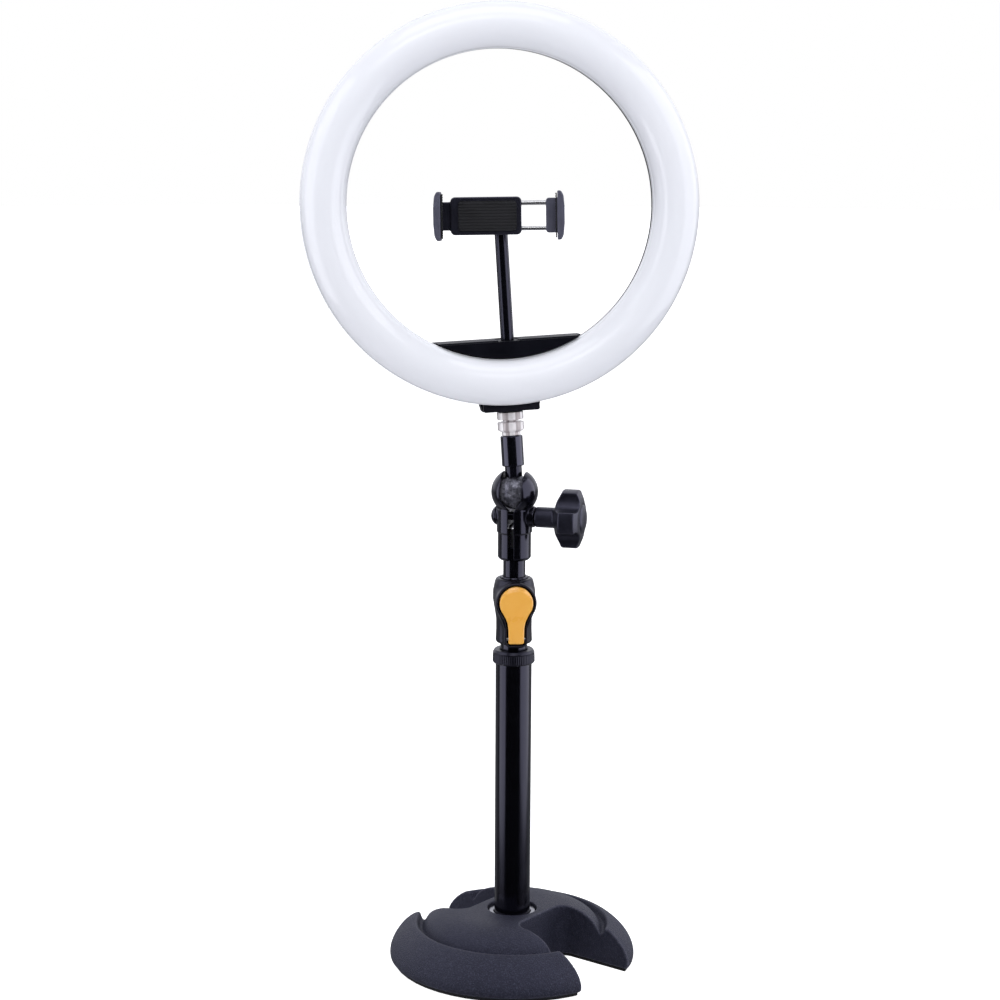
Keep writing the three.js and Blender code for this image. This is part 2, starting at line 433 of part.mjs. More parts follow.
piece(clamp, "right_jaw",
  cut(join(jaw(1), solid(plate(rounded(JAW_HALF - 6, HZ - 11, JAW_HALF + 4, HZ + 11, 2), -16, -10.5))),
    ...[-8, 8].map((d) => solid(at(alongX(rod(1.7, 20, JAW_HALF - 2, 12)), 0, -13.2, HZ + d)))), "satin");
piece(clamp, "right_jaw_pad", box(JAW_HALF, -27.6, HZ - 14, JAW_HALF + 1.0, -18.6, HZ + 14), "rubber");
piece(clamp, "guide_rod_upper", at(alongX(rod(1.4, -10, JAW_HALF - 2.3, 12)), 0, -13.2, HZ + 8), "steel");
piece(clamp, "guide_rod_lower", at(alongX(rod(1.4, -10, JAW_HALF - 2.3, 12)), 0, -13.2, HZ - 8), "steel");

export default root;
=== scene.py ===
"""Looks of the ring light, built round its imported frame.

The tables are in millimetres, in the same frames as the solids: the origin is on the column's
axis at floor level, the light faces -Y, and +Z is up. Pieces are made in three ways: turned
profiles, slabs with rounded edges, and surfaces of distance functions with rounded meetings.
"""
import math

import bpy
import numpy as np
from mathutils import Matrix, Vector

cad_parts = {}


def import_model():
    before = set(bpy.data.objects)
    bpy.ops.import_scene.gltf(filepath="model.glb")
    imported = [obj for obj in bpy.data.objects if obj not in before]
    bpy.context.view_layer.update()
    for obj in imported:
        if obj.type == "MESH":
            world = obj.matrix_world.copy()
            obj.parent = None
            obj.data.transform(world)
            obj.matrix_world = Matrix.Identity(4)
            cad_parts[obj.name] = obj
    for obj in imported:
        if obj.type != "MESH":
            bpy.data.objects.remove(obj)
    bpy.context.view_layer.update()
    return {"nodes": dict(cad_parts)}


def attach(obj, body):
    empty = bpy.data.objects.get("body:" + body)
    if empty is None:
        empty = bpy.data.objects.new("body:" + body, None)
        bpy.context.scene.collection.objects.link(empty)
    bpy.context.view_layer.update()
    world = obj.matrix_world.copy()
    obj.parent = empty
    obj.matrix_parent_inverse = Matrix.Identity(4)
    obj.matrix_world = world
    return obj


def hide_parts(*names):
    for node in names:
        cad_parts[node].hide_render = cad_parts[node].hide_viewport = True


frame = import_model()
NODES = frame["nodes"]
scene = bpy.context.scene


# ------------------------------------------------------------------ frames
def turn(axis, degrees):
    return np.array(Matrix.Rotation(math.radians(degrees), 4, axis))


def shift(x, y, z):
    m = np.eye(4)
    m[:3, 3] = (x, y, z)
    return m


ROOT = np.eye(4)
CLUTCH = turn("Z", 6)
JOINT = turn("Z", -13.6)
HEAD = shift(0, 0, 320.5) @ turn("Z", 6.8) @ turn("Y", -3.3) @ turn("X", -3.8)
HOLDER = HEAD @ shift(-0.3, -12, 0) @ turn("Z", -8)
CLAMP = HOLDER @ shift(0, 0, 179.3) @ turn("Y", 2.7) @ shift(0, 0, -179.3)
RING = HEAD @ shift(0, -23, 186.2) @ turn("X", -90)  # its local +Z points to the back

BALL_Z, BOLT_Z, HZ, LEVER_Z = 320.5, 304.3, 179.3, 248.6


# ------------------------------------------------------------------ meshes
def to_mesh(name, verts, faces):
    """A mesh from an array of points in metres and faces, an array of quads or a list."""
    me = bpy.data.meshes.new(name)
    if isinstance(faces, np.ndarray):
        n, k = faces.shape
        me.vertices.add(len(verts))
        me.vertices.foreach_set("co", np.asarray(verts, np.float32).ravel())
        me.loops.add(n * k)
        me.loops.foreach_set("vertex_index", faces.astype(np.int32).ravel())
        me.polygons.add(n)
        me.polygons.foreach_set("loop_start", np.arange(0, n * k, k, dtype=np.int32))
        me.update(calc_edges=True)
        me.validate()
    else:
        me.from_pydata([tuple(map(float, v)) for v in verts], [], [list(map(int, f)) for f in faces])
        me.validate()
    me.polygons.foreach_set("use_smooth", np.ones(len(me.polygons), bool))
    me.update()
    return me


def outward(me):
    """Turns every face round if the mesh is inside out."""
    me.calc_loop_triangles()
    co = np.zeros(len(me.vertices) * 3, np.float32)
    me.vertices.foreach_get("co", co)
    co = co.reshape(-1, 3).astype(float)
    tri = np.zeros(len(me.loop_triangles) * 3, np.int32)
    me.loop_triangles.foreach_get("vertices", tri)
    a, b, c = (co[tri.reshape(-1, 3)[:, k]] for k in range(3))
    if np.einsum("ij,ij->i", a, np.cross(b, c)).sum() < 0:
        me.flip_normals()
    return me


def weighted_normals(me, sharp=42):
    """Corner normals that lean to the larger faces, so flats stay flat beside a rounded edge."""
    n = len(me.loops)
    vi = np.zeros(n, np.int32)
    me.loops.foreach_get("vertex_index", vi)
    area = np.zeros(len(me.polygons), np.float32)
    me.polygons.foreach_get("area", area)
    fn = np.zeros(len(me.polygons) * 3, np.float32)
    me.polygons.foreach_get("normal", fn)
    fn = fn.reshape(-1, 3).astype(float)
    total = np.zeros(len(me.polygons), np.int32)
    me.polygons.foreach_get("loop_total", total)
    face = np.repeat(np.arange(len(me.polygons)), total)
    order = np.argsort(vi, kind="stable")
    count = np.bincount(vi, minlength=len(me.vertices))
    start = np.cumsum(count) - count
    rep = count[vi]
    i = np.repeat(np.arange(n), rep)
    off = np.arange(rep.sum()) - np.repeat(np.cumsum(rep) - rep, rep)
    j = order[start[vi][i] + off]
    fi, fj = face[i], face[j]
    ok = np.einsum("ij,ij->i", fn[fi], fn[fj]) > math.cos(math.radians(sharp))
    w = (area[fj] * 1e6)[ok]
    acc = np.stack([np.bincount(i[ok], fn[fj[ok], k] * w, minlength=n) for k in range(3)], 1)
    size = np.linalg.norm(acc, axis=1)
    acc[size < 1e-12] = fn[face[size < 1e-12]]
    acc /= np.maximum(np.linalg.norm(acc, axis=1), 1e-12)[:, None]
    me.normals_split_custom_set(acc)
    return me


def place(name, me, body, slot, look, *nodes):
    """Puts a finished mesh into the scene as a piece that rides on a body."""
    me.materials.clear()
    me.materials.append(MATERIALS[look])
    o = bpy.data.objects.new(name, me)
    scene.collection.objects.link(o)
    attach(o, body)
    if nodes:
        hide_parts(*nodes)
    return o


def moved(verts, m):
    v = np.asarray(verts, float)
    return (v @ m[:3, :3].T + m[:3, 3]) * 0.001


def piece(name, shape, body, slot, look, *nodes, frame_of=ROOT, sharp=42):
    verts, faces = shape
    me = outward(to_mesh(name, moved(verts, frame_of), faces))
    weighted_normals(me, sharp)
    return place(name, me, body, slot, look, *nodes)


# ------------------------------------------------------------------ outlines
def soft(points, radius, closed=True, n=4):
    """A polyline with its corners rounded. A point may carry its own radius as a third number."""
    out, m = [], len(points)
    for i, p in enumerate(points):
        q = np.array(p[:2], float)
        r = p[2] if len(p) > 2 else radius
        if (not closed and i in (0, m - 1)) or r <= 0:
            out.append(q)
            continue
        a = np.array(points[i - 1][:2], float) - q
        b = np.array(points[(i + 1) % m][:2], float) - q
        la, lb = np.linalg.norm(a), np.linalg.norm(b)
        if la < 1e-9 or lb < 1e-9:
            continue
        a, b = a / la, b / lb
        angle = math.acos(max(-1.0, min(1.0, float(a @ b))))
        if angle > math.pi - 0.04:
            out.append(q)
            continue
        t = min(r / math.tan(angle / 2), 0.46 * la, 0.46 * lb)
        rr = t * math.tan(angle / 2)
        c = q + (a + b) / np.linalg.norm(a + b) * rr / math.sin(angle / 2)
        u0, u1 = (q + a * t - c) / rr, (q + b * t - c) / rr
        w = math.acos(max(-1.0, min(1.0, float(u0 @ u1))))
        for k in range(n + 1):
            s = k / n
            out.append(c + rr * (math.sin((1 - s) * w) * u0 + math.sin(s * w) * u1) / math.sin(w))
    return [tuple(p) for p in out]


def chaikin(points, times=2):
    """Corner cutting that keeps the two ends."""
    p = [np.array(q, float) for q in points]
    for _ in range(times):
        out = [p[0]]
        for a, b in zip(p[:-1], p[1:]):
            out += [0.75 * a + 0.25 * b, 0.25 * a + 0.75 * b]
        out.append(p[-1])
        p = out
    return [tuple(q) for q in p]


def arc(cx, cy, r, a0, a1, n):
    return [(cx + r * math.cos(math.radians(a0 + (a1 - a0) * i / n)),
             cy + r * math.sin(math.radians(a0 + (a1 - a0) * i / n))) for i in range(n + 1)]


def rounded(x0, y0, x1, y1, r, n=8):
    return (arc(x1 - r, y1 - r, r, 0, 90, n) + arc(x0 + r, y1 - r, r, 90, 180, n)
            + arc(x0 + r, y0 + r, r, 180, 270, n) + arc(x1 - r, y0 + r, r, 270, 360, n))


# ------------------------------------------------------------------ turned pieces
def lathe(profile, seg=96, radius=0.4, shape=None, n=4):
    """A profile of (radius, height) turned about Z. It starts and ends on the axis, or closes.
    shape(angle, r, z) gives the radius at that angle, for ribs and facets."""
    onaxis = profile[0][0] == 0 and profile[-1][0] == 0
    pts = soft(profile, radius, closed=not onaxis, n=n)
    angles = np.arange(seg) * 2 * math.pi / seg
    verts, rings = [], []
    for r, z in pts:
        if r < 1e-6:
            rings.append([len(verts)])
            verts.append((0, 0, z))
        else:
            rings.append(list(range(len(verts), len(verts) + seg)))
            rr = np.full(seg, r) if shape is None else shape(angles, r, z)
            verts += list(zip(rr * np.cos(angles), rr * np.sin(angles), np.full(seg, z)))
    faces = []
    pairs = list(zip(rings[:-1], rings[1:])) + ([] if onaxis else [(rings[-1], rings[0])])
    for a, b in pairs:
        for k in range(seg):
            k1 = (k + 1) % seg
            if len(a) == 1 and len(b) == 1:
                continue
            if len(a) == 1:
                faces.append((a[0], b[k], b[k1]))
            elif len(b) == 1:
                faces.append((a[k], b[0], a[k1]))
            else:
                faces.append((a[k], b[k], b[k1], a[k1]))
    return np.array(verts, float), faces


def facets(sides, cap=0.985):
    """A shape for lathe(): flats with slightly rounded corners, whose corner radius is r."""
    def f(angles, r, z):
        step = 2 * math.pi / sides
        phi = (angles + step / 2) % step - step / 2
        phi = np.abs(np.abs(phi) - step / 2)
        flat = r * math.cos(step / 2) / np.cos(phi)
        return np.minimum(flat, r * cap)
    return f


ALONG_X = turn("Y", 90)
ALONG_Y = turn("X", -90)


def apply_to(shape, m):
    verts, faces = shape
    v = np.asarray(verts, float)
    return v @ m[:3, :3].T + m[:3, 3], faces


# ------------------------------------------------------------------ slabs
def slab(outline, y0, y1, r=0.5, n=4, back=None):
    """An outline in X and Z carried from y0 to y1, with rounded edges. back is the radius at y1."""
    p = np.array(outline, float)
    keep = np.linalg.norm(p - np.roll(p, 1, 0), axis=1) > 1e-4
    p = p[keep]
    x, z = p[:, 0], p[:, 1]
    if (x * np.roll(z, -1) - np.roll(x, -1) * z).sum() < 0:
        p = p[::-1]
    e = np.roll(p, -1, 0) - p
    e /= np.linalg.norm(e, axis=1)[:, None]
    nor = np.stack([-e[:, 1], e[:, 0]], 1)  # inward
    prev = np.roll(nor, 1, 0)
    mitre = (nor + prev) / (1 + np.maximum((nor * prev).sum(1), -0.5))[:, None]
    rb = r if back is None else back
    levels = []
    for k in range(n + 1):
        a = math.pi / 2 * k / n
        levels.append((r * (1 - math.sin(a)), y0 + r * (1 - math.cos(a))))
    for k in range(n + 1):
        a = math.pi / 2 * (1 - k / n)
        levels.append((rb * (1 - math.sin(a)), y1 - rb * (1 - math.cos(a))))
    verts, m = [], len(p)
    for inset, y in levels:
        q = p + mitre * inset
        verts += [(a, y, b) for a, b in q]
    faces = []
    for i in range(len(levels) - 1):
        for k in range(m):
            k1 = (k + 1) % m
            faces.append((i * m + k, i * m + k1, (i + 1) * m + k1, (i + 1) * m + k))
    faces.append(tuple(range(m))[::-1])
    faces.append(tuple(range((len(levels) - 1) * m, len(levels) * m)))
    return np.array(verts, float), faces


# ------------------------------------------------------------------ booleans
def carve(shape, *cutters):
    """A shape less each cutter, in local millimetres."""
    def obj(s):
        me = outward(to_mesh("work", np.asarray(s[0], float) * 0.001, s[1]))
        o = bpy.data.objects.new("work", me)
        scene.collection.objects.link(o)
        return o
    base = obj(shape)
    work = [obj(c) for c in cutters]
    for c in work:
        m = base.modifiers.new("cut", "BOOLEAN")
        m.operation, m.solver, m.object = "DIFFERENCE", "EXACT", c
    bpy.context.view_layer.update()
    got = base.evaluated_get(bpy.context.evaluated_depsgraph_get()).to_mesh()
    verts = np.array([v.co for v in got.vertices], float) * 1000
    faces = [tuple(f.vertices) for f in got.polygons]
    for o in [base, *work]:
        bpy.data.objects.remove(o)
    return verts, faces


# ------------------------------------------------------------------ distance functions
def d_poly(x, y, pts):
    """Signed distance to a polygon, negative inside."""
    p = np.array(pts, float)
    d = np.full(x.shape, 1e18)
    s = np.ones(x.shape)
    for i in range(len(p)):
        a, b = p[i], p[i - 1]
        ex, ey = b - a
        if ex * ex + ey * ey < 1e-14:
            continue
        wx, wy = x - a[0], y - a[1]
        t = np.clip((wx * ex + wy * ey) / (ex * ex + ey * ey), 0, 1)
        bx, by = wx - ex * t, wy - ey * t
        d = np.minimum(d, bx * bx + by * by)
        c1, c2, c3 = y >= a[1], y < b[1], ex * wy > ey * wx
        s = np.where((c1 & c2 & c3) | ~(c1 | c2 | c3), -s, s)
    return s * np.sqrt(d)


def d_box2(x, y, x0, y0, x1, y1, r=0.0):
    qx = np.abs(x - (x0 + x1) / 2) - (x1 - x0) / 2 + r
    qy = np.abs(y - (y0 + y1) / 2) - (y1 - y0) / 2 + r
    return np.hypot(np.maximum(qx, 0), np.maximum(qy, 0)) + np.minimum(np.maximum(qx, qy), 0) - r


def d_box(x, y, z, lo, hi, r=0.0):
    q = [np.abs(v - (a + b) / 2) - (b - a) / 2 + r for v, a, b in zip((x, y, z), lo, hi)]
    out = np.sqrt(sum(np.maximum(v, 0) ** 2 for v in q))
    return out + np.minimum(np.maximum(np.maximum(q[0], q[1]), q[2]), 0) - r


def join(a, b, k=0.0):
    """Union with a fillet of radius k."""
    if k <= 0:
        return np.minimum(a, b)
    u, v = np.maximum(k - a, 0), np.maximum(k - b, 0)
    return np.maximum(k, np.minimum(a, b)) - np.hypot(u, v)


def both(a, b, k=0.0):
    """Intersection with a rounded edge of radius k."""
    if isinstance(k, (int, float)) and k <= 0:
        return np.maximum(a, b)
    u, v = np.maximum(k + a, 0), np.maximum(k + b, 0)
    return np.minimum(-k, np.maximum(a, b)) + np.hypot(u, v)


def less(a, b, k=0.0):
    return both(a, -b, k)


def surface(f, lo, hi, h, steps=3):
    """The zero surface of f as a smooth quad mesh, with its normals. f takes x, y, z arrays."""
    lo, hi = np.array(lo, float), np.array(hi, float)
    n = np.ceil((hi - lo) / h).astype(int) + 1
    B = 4
    nb = -(-n // B)
    ax = [lo[k] + (np.arange(nb[k]) + 0.5) * B * h for k in range(3)]
    g = np.meshgrid(*ax, indexing="ij")
    coarse = f(g[0].ravel(), g[1].ravel(), g[2].ravel()).reshape(nb)
    active = np.abs(coarse) < (0.9 * B + 1.4) * h

    def fine(a):
        for k in range(3):
            a = np.repeat(a, B, axis=k)
        return a[: n[0], : n[1], : n[2]]
    val = fine(coarse).copy()
    mask = fine(active)
    i, j, k = np.nonzero(mask)
    val[i, j, k] = f(lo[0] + i * h, lo[1] + j * h, lo[2] + k * h)
    val[val == 0] = 1e-9
    inside = val < 0
    corners = [(a, b, c) for a in (0, 1) for b in (0, 1) for c in (0, 1)]
    sl = lambda a, o, e=1: a[o[0]: a.shape[0] - e + o[0], o[1]: a.shape[1] - e + o[1], o[2]: a.shape[2] - e + o[2]]
    cnt = sum(sl(inside, c).astype(np.int8) for c in corners)
    cell = (cnt > 0) & (cnt < 8)
    ci = np.stack(np.nonzero(cell), 1)
    ids = np.full(cell.shape, -1, np.int64)
    ids[tuple(ci.T)] = np.arange(len(ci))
    acc, num = np.zeros((len(ci), 3)), np.zeros(len(ci))
    for a in corners:
        for ax_ in range(3):
            if a[ax_]:
                continue
            b = list(a)
            b[ax_] = 1
            va = val[tuple((ci + a).T)]
            vb = val[tuple((ci + b).T)]
            hit = (va < 0) != (vb < 0)
            t = np.where(hit, va / np.where(hit, va - vb, 1), 0)
            p = np.array(a, float)[None] + t[:, None] * (np.array(b) - np.array(a))[None]
            acc += np.where(hit[:, None], p, 0)
            num += hit
    verts = lo + (ci + acc / num[:, None]) * h
    quads = []
    for ax_ in range(3):
        u, v = (ax_ + 1) % 3, (ax_ + 2) % 3
        d = [0, 0, 0]
        d[ax_] = 1
        a = inside[: n[0] - d[0], : n[1] - d[1], : n[2] - d[2]]
        b = inside[d[0]:, d[1]:, d[2]:]
        e = np.stack(np.nonzero(a != b), 1)
        ok = (e[:, u] > 0) & (e[:, v] > 0) & (e[:, u] < n[u] - 1) & (e[:, v] < n[v] - 1)
        e = e[ok]
        first = a[tuple(e.T)]
        du, dv = np.zeros(3, int), np.zeros(3, int)
        du[u], dv[v] = 1, 1
        q = np.stack([ids[tuple((e - du - dv).T)], ids[tuple((e - dv).T)], ids[tuple(e.T)], ids[tuple((e - du).T)]], 1)
        q = np.where(first[:, None], q, q[:, ::-1])
        quads.append(q)
    quads = np.concatenate(quads)
    eps = 0.2 * h

    def grad(p):
        out = np.zeros_like(p)
        for k in range(3):
            o = np.zeros(3)
            o[k] = eps
            a, b = p + o, p - o
            out[:, k] = (f(*a.T) - f(*b.T)) / (2 * eps)
        return out
    for _ in range(steps):
        gr = grad(verts)
        step = (f(*verts.T) / np.maximum((gr ** 2).sum(1), 0.2))[:, None] * gr
        size = np.linalg.norm(step, axis=1)
        step *= np.minimum(1, 0.5 * h / np.maximum(size, 1e-9))[:, None]
        verts = verts - step
    gr = grad(verts)
    gr /= np.maximum(np.linalg.norm(gr, axis=1), 1e-9)[:, None]
    return verts, quads, gr


def grown(name, f, lo, hi, h, body, slot, look, *nodes, frame_of=ROOT):
    """A piece from a distance function."""
    verts, quads, nor = surface(f, lo, hi, h)
    me = to_mesh(name, moved(verts, frame_of), quads)
    nor = nor @ frame_of[:3, :3].T
    if len(me.vertices) == len(nor):
        me.normals_split_custom_set_from_vertices(nor)
    o = place(name, me, body, slot, look, *nodes)
    return o


# ------------------------------------------------------------------ materials
MATERIALS = {}


def tree(name):
    m = bpy.data.materials.new(name)
    m.use_nodes = True
    nt = m.node_tree
    nt.nodes.clear()
    out = nt.nodes.new("ShaderNodeOutputMaterial")
    bsdf = nt.nodes.new("ShaderNodeBsdfPrincipled")
    nt.links.new(bsdf.outputs[0], out.inputs[0])
    MATERIALS[name] = m
    return m, nt, bsdf


def node(nt, kind, **values):
    n = nt.nodes.new(kind)
    for key, v in values.items():
        if hasattr(n, key):
            setattr(n, key, v)
        else:
            n.inputs[key.replace("_", " ")].default_value = v
    return n


def noise(nt, scale, detail=3.0, rough=0.5, stretch=None, offset=(0, 0, 0)):
    coord = nt.nodes.new("ShaderNodeTexCoord")
    src = coord.outputs["Object"]
    if stretch or any(offset):
        mp = nt.nodes.new("ShaderNodeMapping")
        mp.inputs["Scale"].default_value = stretch or (1, 1, 1)
        mp.inputs["Location"].default_value = offset
        nt.links.new(src, mp.inputs[0])
        src = mp.outputs[0]
    n = nt.nodes.new("ShaderNodeTexNoise")
    n.inputs["Scale"].default_value = scale
    n.inputs["Detail"].default_value = detail
    n.inputs["Roughness"].default_value = rough
    nt.links.new(src, n.inputs["Vector"])
    return n.outputs["Fac"]


def along(nt, m):
    """Position in the frame m, in metres."""
    back = np.linalg.inv(np.asarray(m, float))
    mp = nt.nodes.new("ShaderNodeMapping")
    mp.inputs["Rotation"].default_value = Matrix(back[:3, :3].tolist()).to_euler()
    mp.inputs["Location"].default_value = (back[:3, 3] * 0.001).tolist()
    nt.links.new(nt.nodes.new("ShaderNodeTexCoord").outputs["Object"], mp.inputs[0])
    at = nt.nodes.new("ShaderNodeSeparateXYZ")
    nt.links.new(mp.outputs[0], at.inputs[0])
    return at.outputs


def spread(nt, src, lo, hi, a=0.3, b=0.7):
    """Maps src from a..b to lo..hi."""
    r = nt.nodes.new("ShaderNodeMapRange")
    r.inputs["From Min"].default_value, r.inputs["From Max"].default_value = a, b
    r.inputs["To Min"].default_value, r.inputs["To Max"].default_value = lo, hi
    nt.links.new(src, r.inputs["Value"])
    return r.outputs["Result"]


def mix(nt, fac, a, b):
    m = nt.nodes.new("ShaderNodeMix")
    m.data_type = "RGBA"
    if isinstance(fac, float):
        m.inputs[0].default_value = fac
    else:
        nt.links.new(fac, m.inputs[0])
    for v, s in ((a, m.inputs[6]), (b, m.inputs[7])):
        if isinstance(v, tuple):
            s.default_value = (*v, 1)
        else:
            nt.links.new(v, s)
    return m.outputs[2]


def times(nt, a, b, op="MULTIPLY"):
    m = nt.nodes.new("ShaderNodeMath")
    m.operation = op
    for v, s in ((a, m.inputs[0]), (b, m.inputs[1])):
        if isinstance(v, (int, float)):
            s.default_value = v
        else:
            nt.links.new(v, s)
    return m.outputs[0]


def edges(nt, lo=0.53, hi=0.60):
    """Near 1 on outer edges."""
    g = nt.nodes.new("ShaderNodeNewGeometry")
    return spread(nt, g.outputs["Pointiness"], 0, 1, lo, hi)


def bump(nt, bsdf, *layers):
    """layers of (height source, strength, distance in metres)."""
    last = None
    for src, strength, distance in layers:
        b = nt.nodes.new("ShaderNodeBump")
        b.inputs["Strength"].default_value = strength
        b.inputs["Distance"].default_value = distance
        nt.links.new(src, b.inputs["Height"])
        if last is not None:
            nt.links.new(last, b.inputs["Normal"])
        last = b.outputs["Normal"]
    nt.links.new(last, bsdf.inputs["Normal"])


def plain(name, dark, light, rough, metal=0.0, tone_scale=60.0, rough_amount=0.06, grain=2500.0, grain_bump=0.1,
          grain_size=2e-5, wear_and_highlight=None, wear_and_highlight_amount=0.5, coat=0.0, coat_rough=0.05, spec=0.5, stretch=None, detail=3.0,
          pointy=(0.53, 0.60), painted_glint=0.0, tint=None, hollow_shade=0.0, tone_stretch=None):
    m, nt, bsdf = tree(name)
    tone = noise(nt, tone_scale, 4.0, 0.55, tone_stretch)
    grainy = noise(nt, grain, detail, 0.6, stretch)
    colour = mix(nt, spread(nt, tone, 0, 1), dark, light)
    # painted glints: bright specks in the colour, on the high points of the grain noise, stand in for glints of light
    # on the textured coat
    if painted_glint:
        colour = mix(nt, spread(nt, grainy, 0, painted_glint, 0.5, 0.72), colour, tuple(min(1, 2.2 * c + 0.012) for c in light))
    roughness = spread(nt, tone, rough - rough_amount, rough + rough_amount)
    # lighter colour on outer edges and ridges: partly real rubbed wear, partly a painted highlight where edges catch
    # the light
    if wear_and_highlight:
        mark_mask = times(nt, edges(nt, *pointy), spread(nt, noise(nt, 900.0, 3.0, 0.6), 0.25, wear_and_highlight_amount, 0.4, 0.65))
        colour = mix(nt, mark_mask, colour, wear_and_highlight)
    # painted shade: the colour is darkened towards black in hollows and creases, where shade falls
    if hollow_shade:
        colour = mix(nt, spread(nt, edges(nt, 0.0, 1.0), hollow_shade, 0.0, 0.40, 0.485), colour, tuple(0.12 * c for c in dark))
    nt.links.new(colour, bsdf.inputs["Base Color"])
    nt.links.new(roughness, bsdf.inputs["Roughness"])
    bsdf.inputs["Metallic"].default_value = metal
    if tint:
        bsdf.inputs["Specular Tint"].default_value = (*tint, 1)
    bsdf.inputs["Specular IOR Level"].default_value = spec
    bsdf.inputs["Coat Weight"].default_value = coat
    bsdf.inputs["Coat Roughness"].default_value = coat_rough
    bump(nt, bsdf, (grainy, grain_bump, grain_size))
    return m


DARK_TINT = (0.70, 0.69, 1.0)
# powder coat: its bright specks are painted glints, its lighter ridges partly painted highlight, its hollows painted
# shade
plain("powder", (0.0100, 0.0110, 0.0190), (0.0160, 0.0175, 0.0295), 0.50, tone_scale=26, rough_amount=0.05, grain=1250,
      grain_bump=1.0, grain_size=9e-4, wear_and_highlight=(0.13, 0.13, 0.17), wear_and_highlight_amount=0.9, spec=0.46, painted_glint=1.0, detail=2.0,
      pointy=(0.515, 0.565), tint=DARK_TINT, hollow_shade=0.75)
plain("gloss", (0.0012, 0.0012, 0.0020), (0.0019, 0.0019, 0.0030), 0.17, tone_scale=90, rough_amount=0.025, grain=900,
      grain_bump=0.02, grain_size=6e-6, spec=0.6, coat=0.1, coat_rough=0.08, tint=DARK_TINT, hollow_shade=0.7)
plain("enamel", (0.0012, 0.0012, 0.0020), (0.0019, 0.0019, 0.0030), 0.17, tone_scale=90, rough_amount=0.025, grain=900,
      grain_bump=0.02, grain_size=6e-6, spec=0.95, coat=0.2, coat_rough=0.08, tint=DARK_TINT, hollow_shade=0.7)
plain("clutch", (0.0022, 0.0022, 0.0036), (0.0036, 0.0036, 0.0058), 0.31, tone_scale=70, rough_amount=0.05, grain=3000,
      grain_bump=0.3, grain_size=3.5e-5, wear_and_highlight=(0.10, 0.10, 0.125), wear_and_highlight_amount=0.8, spec=0.46, coat=0.06, coat_rough=0.16,
      tint=DARK_TINT, hollow_shade=0.9)
plain("satin", (0.0060, 0.0062, 0.0094), (0.0090, 0.0093, 0.0140), 0.34, tone_scale=70, rough_amount=0.06, grain=3200,
      grain_bump=0.35, grain_size=4e-5, wear_and_highlight=(0.125, 0.125, 0.155), wear_and_highlight_amount=0.85, spec=0.70, tint=DARK_TINT, hollow_shade=0.7)
plain("jaw", (0.066, 0.067, 0.090), (0.086, 0.088, 0.116), 0.48, tone_scale=90, rough_amount=0.05, grain=2600,
      grain_bump=0.5, grain_size=6e-5, wear_and_highlight=(0.20, 0.20, 0.24), wear_and_highlight_amount=0.6, spec=0.5, tint=DARK_TINT)
plain("matte", (0.0016, 0.0018, 0.0030), (0.0028, 0.0031, 0.0048), 0.46, tone_scale=60, rough_amount=0.06, grain=2600,
      grain_bump=0.4, grain_size=5e-5, wear_and_highlight=(0.04, 0.04, 0.05), wear_and_highlight_amount=0.4, spec=0.16, tint=DARK_TINT)
plain("rubber", (0.010, 0.010, 0.012), (0.015, 0.015, 0.018), 0.8, tone_scale=80, rough_amount=0.05, grain=1800,
      grain_bump=0.5, grain_size=7e-5, spec=0.3)
plain("nylon", (0.020, 0.020, 0.023), (0.028, 0.028, 0.032), 0.45, grain=2000, grain_bump=0.2, grain_size=2e-5)
plain("chrome", (0.76, 0.735, 0.73), (0.86, 0.84, 0.84), 0.12, metal=1.0, tone_scale=150, rough_amount=0.025,
      grain=900, grain_bump=0.05, grain_size=1e-5)
plain("turned", (0.30, 0.30, 0.33), (0.40, 0.40, 0.43), 0.24, metal=1.0, tone_scale=200, rough_amount=0.04, grain=900,
      grain_bump=0.1, grain_size=1e-5)
plain("steel", (0.52, 0.52, 0.54), (0.66, 0.66, 0.68), 0.28, metal=1.0, tone_scale=200, rough_amount=0.07, grain=500,
      grain_bump=0.25, grain_size=2e-5, stretch=(1, 1, 14))
plain("brass", (0.52, 0.36, 0.12), (0.64, 0.46, 0.18), 0.3, metal=1.0, tone_scale=200, grain=500, grain_bump=0.2,
      stretch=(1, 1, 14))
# lever: its bright edge colour is a painted highlight on the rims, broken up in patches like wear
plain("lever", (0.93, 0.445, 0.062), (0.98, 0.500, 0.084), 0.30, tone_scale=110, rough_amount=0.05, grain=3600,
      grain_bump=0.22, grain_size=3e-5, wear_and_highlight=(1.0, 0.70, 0.24), wear_and_highlight_amount=0.9, spec=0.5, pointy=(0.53, 0.57), hollow_shade=0.0,
      coat=1.0, coat_rough=0.13)
plain("white", (0.72, 0.74, 0.75), (0.80, 0.81, 0.82), 0.4, grain=1500, grain_bump=0.1)
plain("board", (0.010, 0.07, 0.030), (0.015, 0.10, 0.045), 0.35, tone_scale=300, grain=1500, grain_bump=0.2)


def opal():
    """Moulded opal acrylic: glossy, even, a little milky. A weak glow is painted in as emission, which lifts and evens
    its shading.
    """
    m, nt, bsdf = tree("opal")
    tone = noise(nt, 9.0, 2.0, 0.5)
    nt.links.new(mix(nt, spread(nt, tone, 0, 1), (0.735, 0.747, 0.79), (0.76, 0.771, 0.81)), bsdf.inputs["Base Color"])
    bsdf.inputs["Roughness"].default_value = 0.30
    bsdf.inputs["Specular IOR Level"].default_value = 0.15
    bsdf.inputs["Coat Weight"].default_value = 0.9
    bsdf.inputs["Coat Roughness"].default_value = 0.05
    # painted glow: a weak emission brightens and flattens the diffuser's shading
    bsdf.inputs["Emission Color"].default_value = (0.90, 0.92, 1.0, 1)
    bsdf.inputs["Emission Strength"].default_value = 0.145


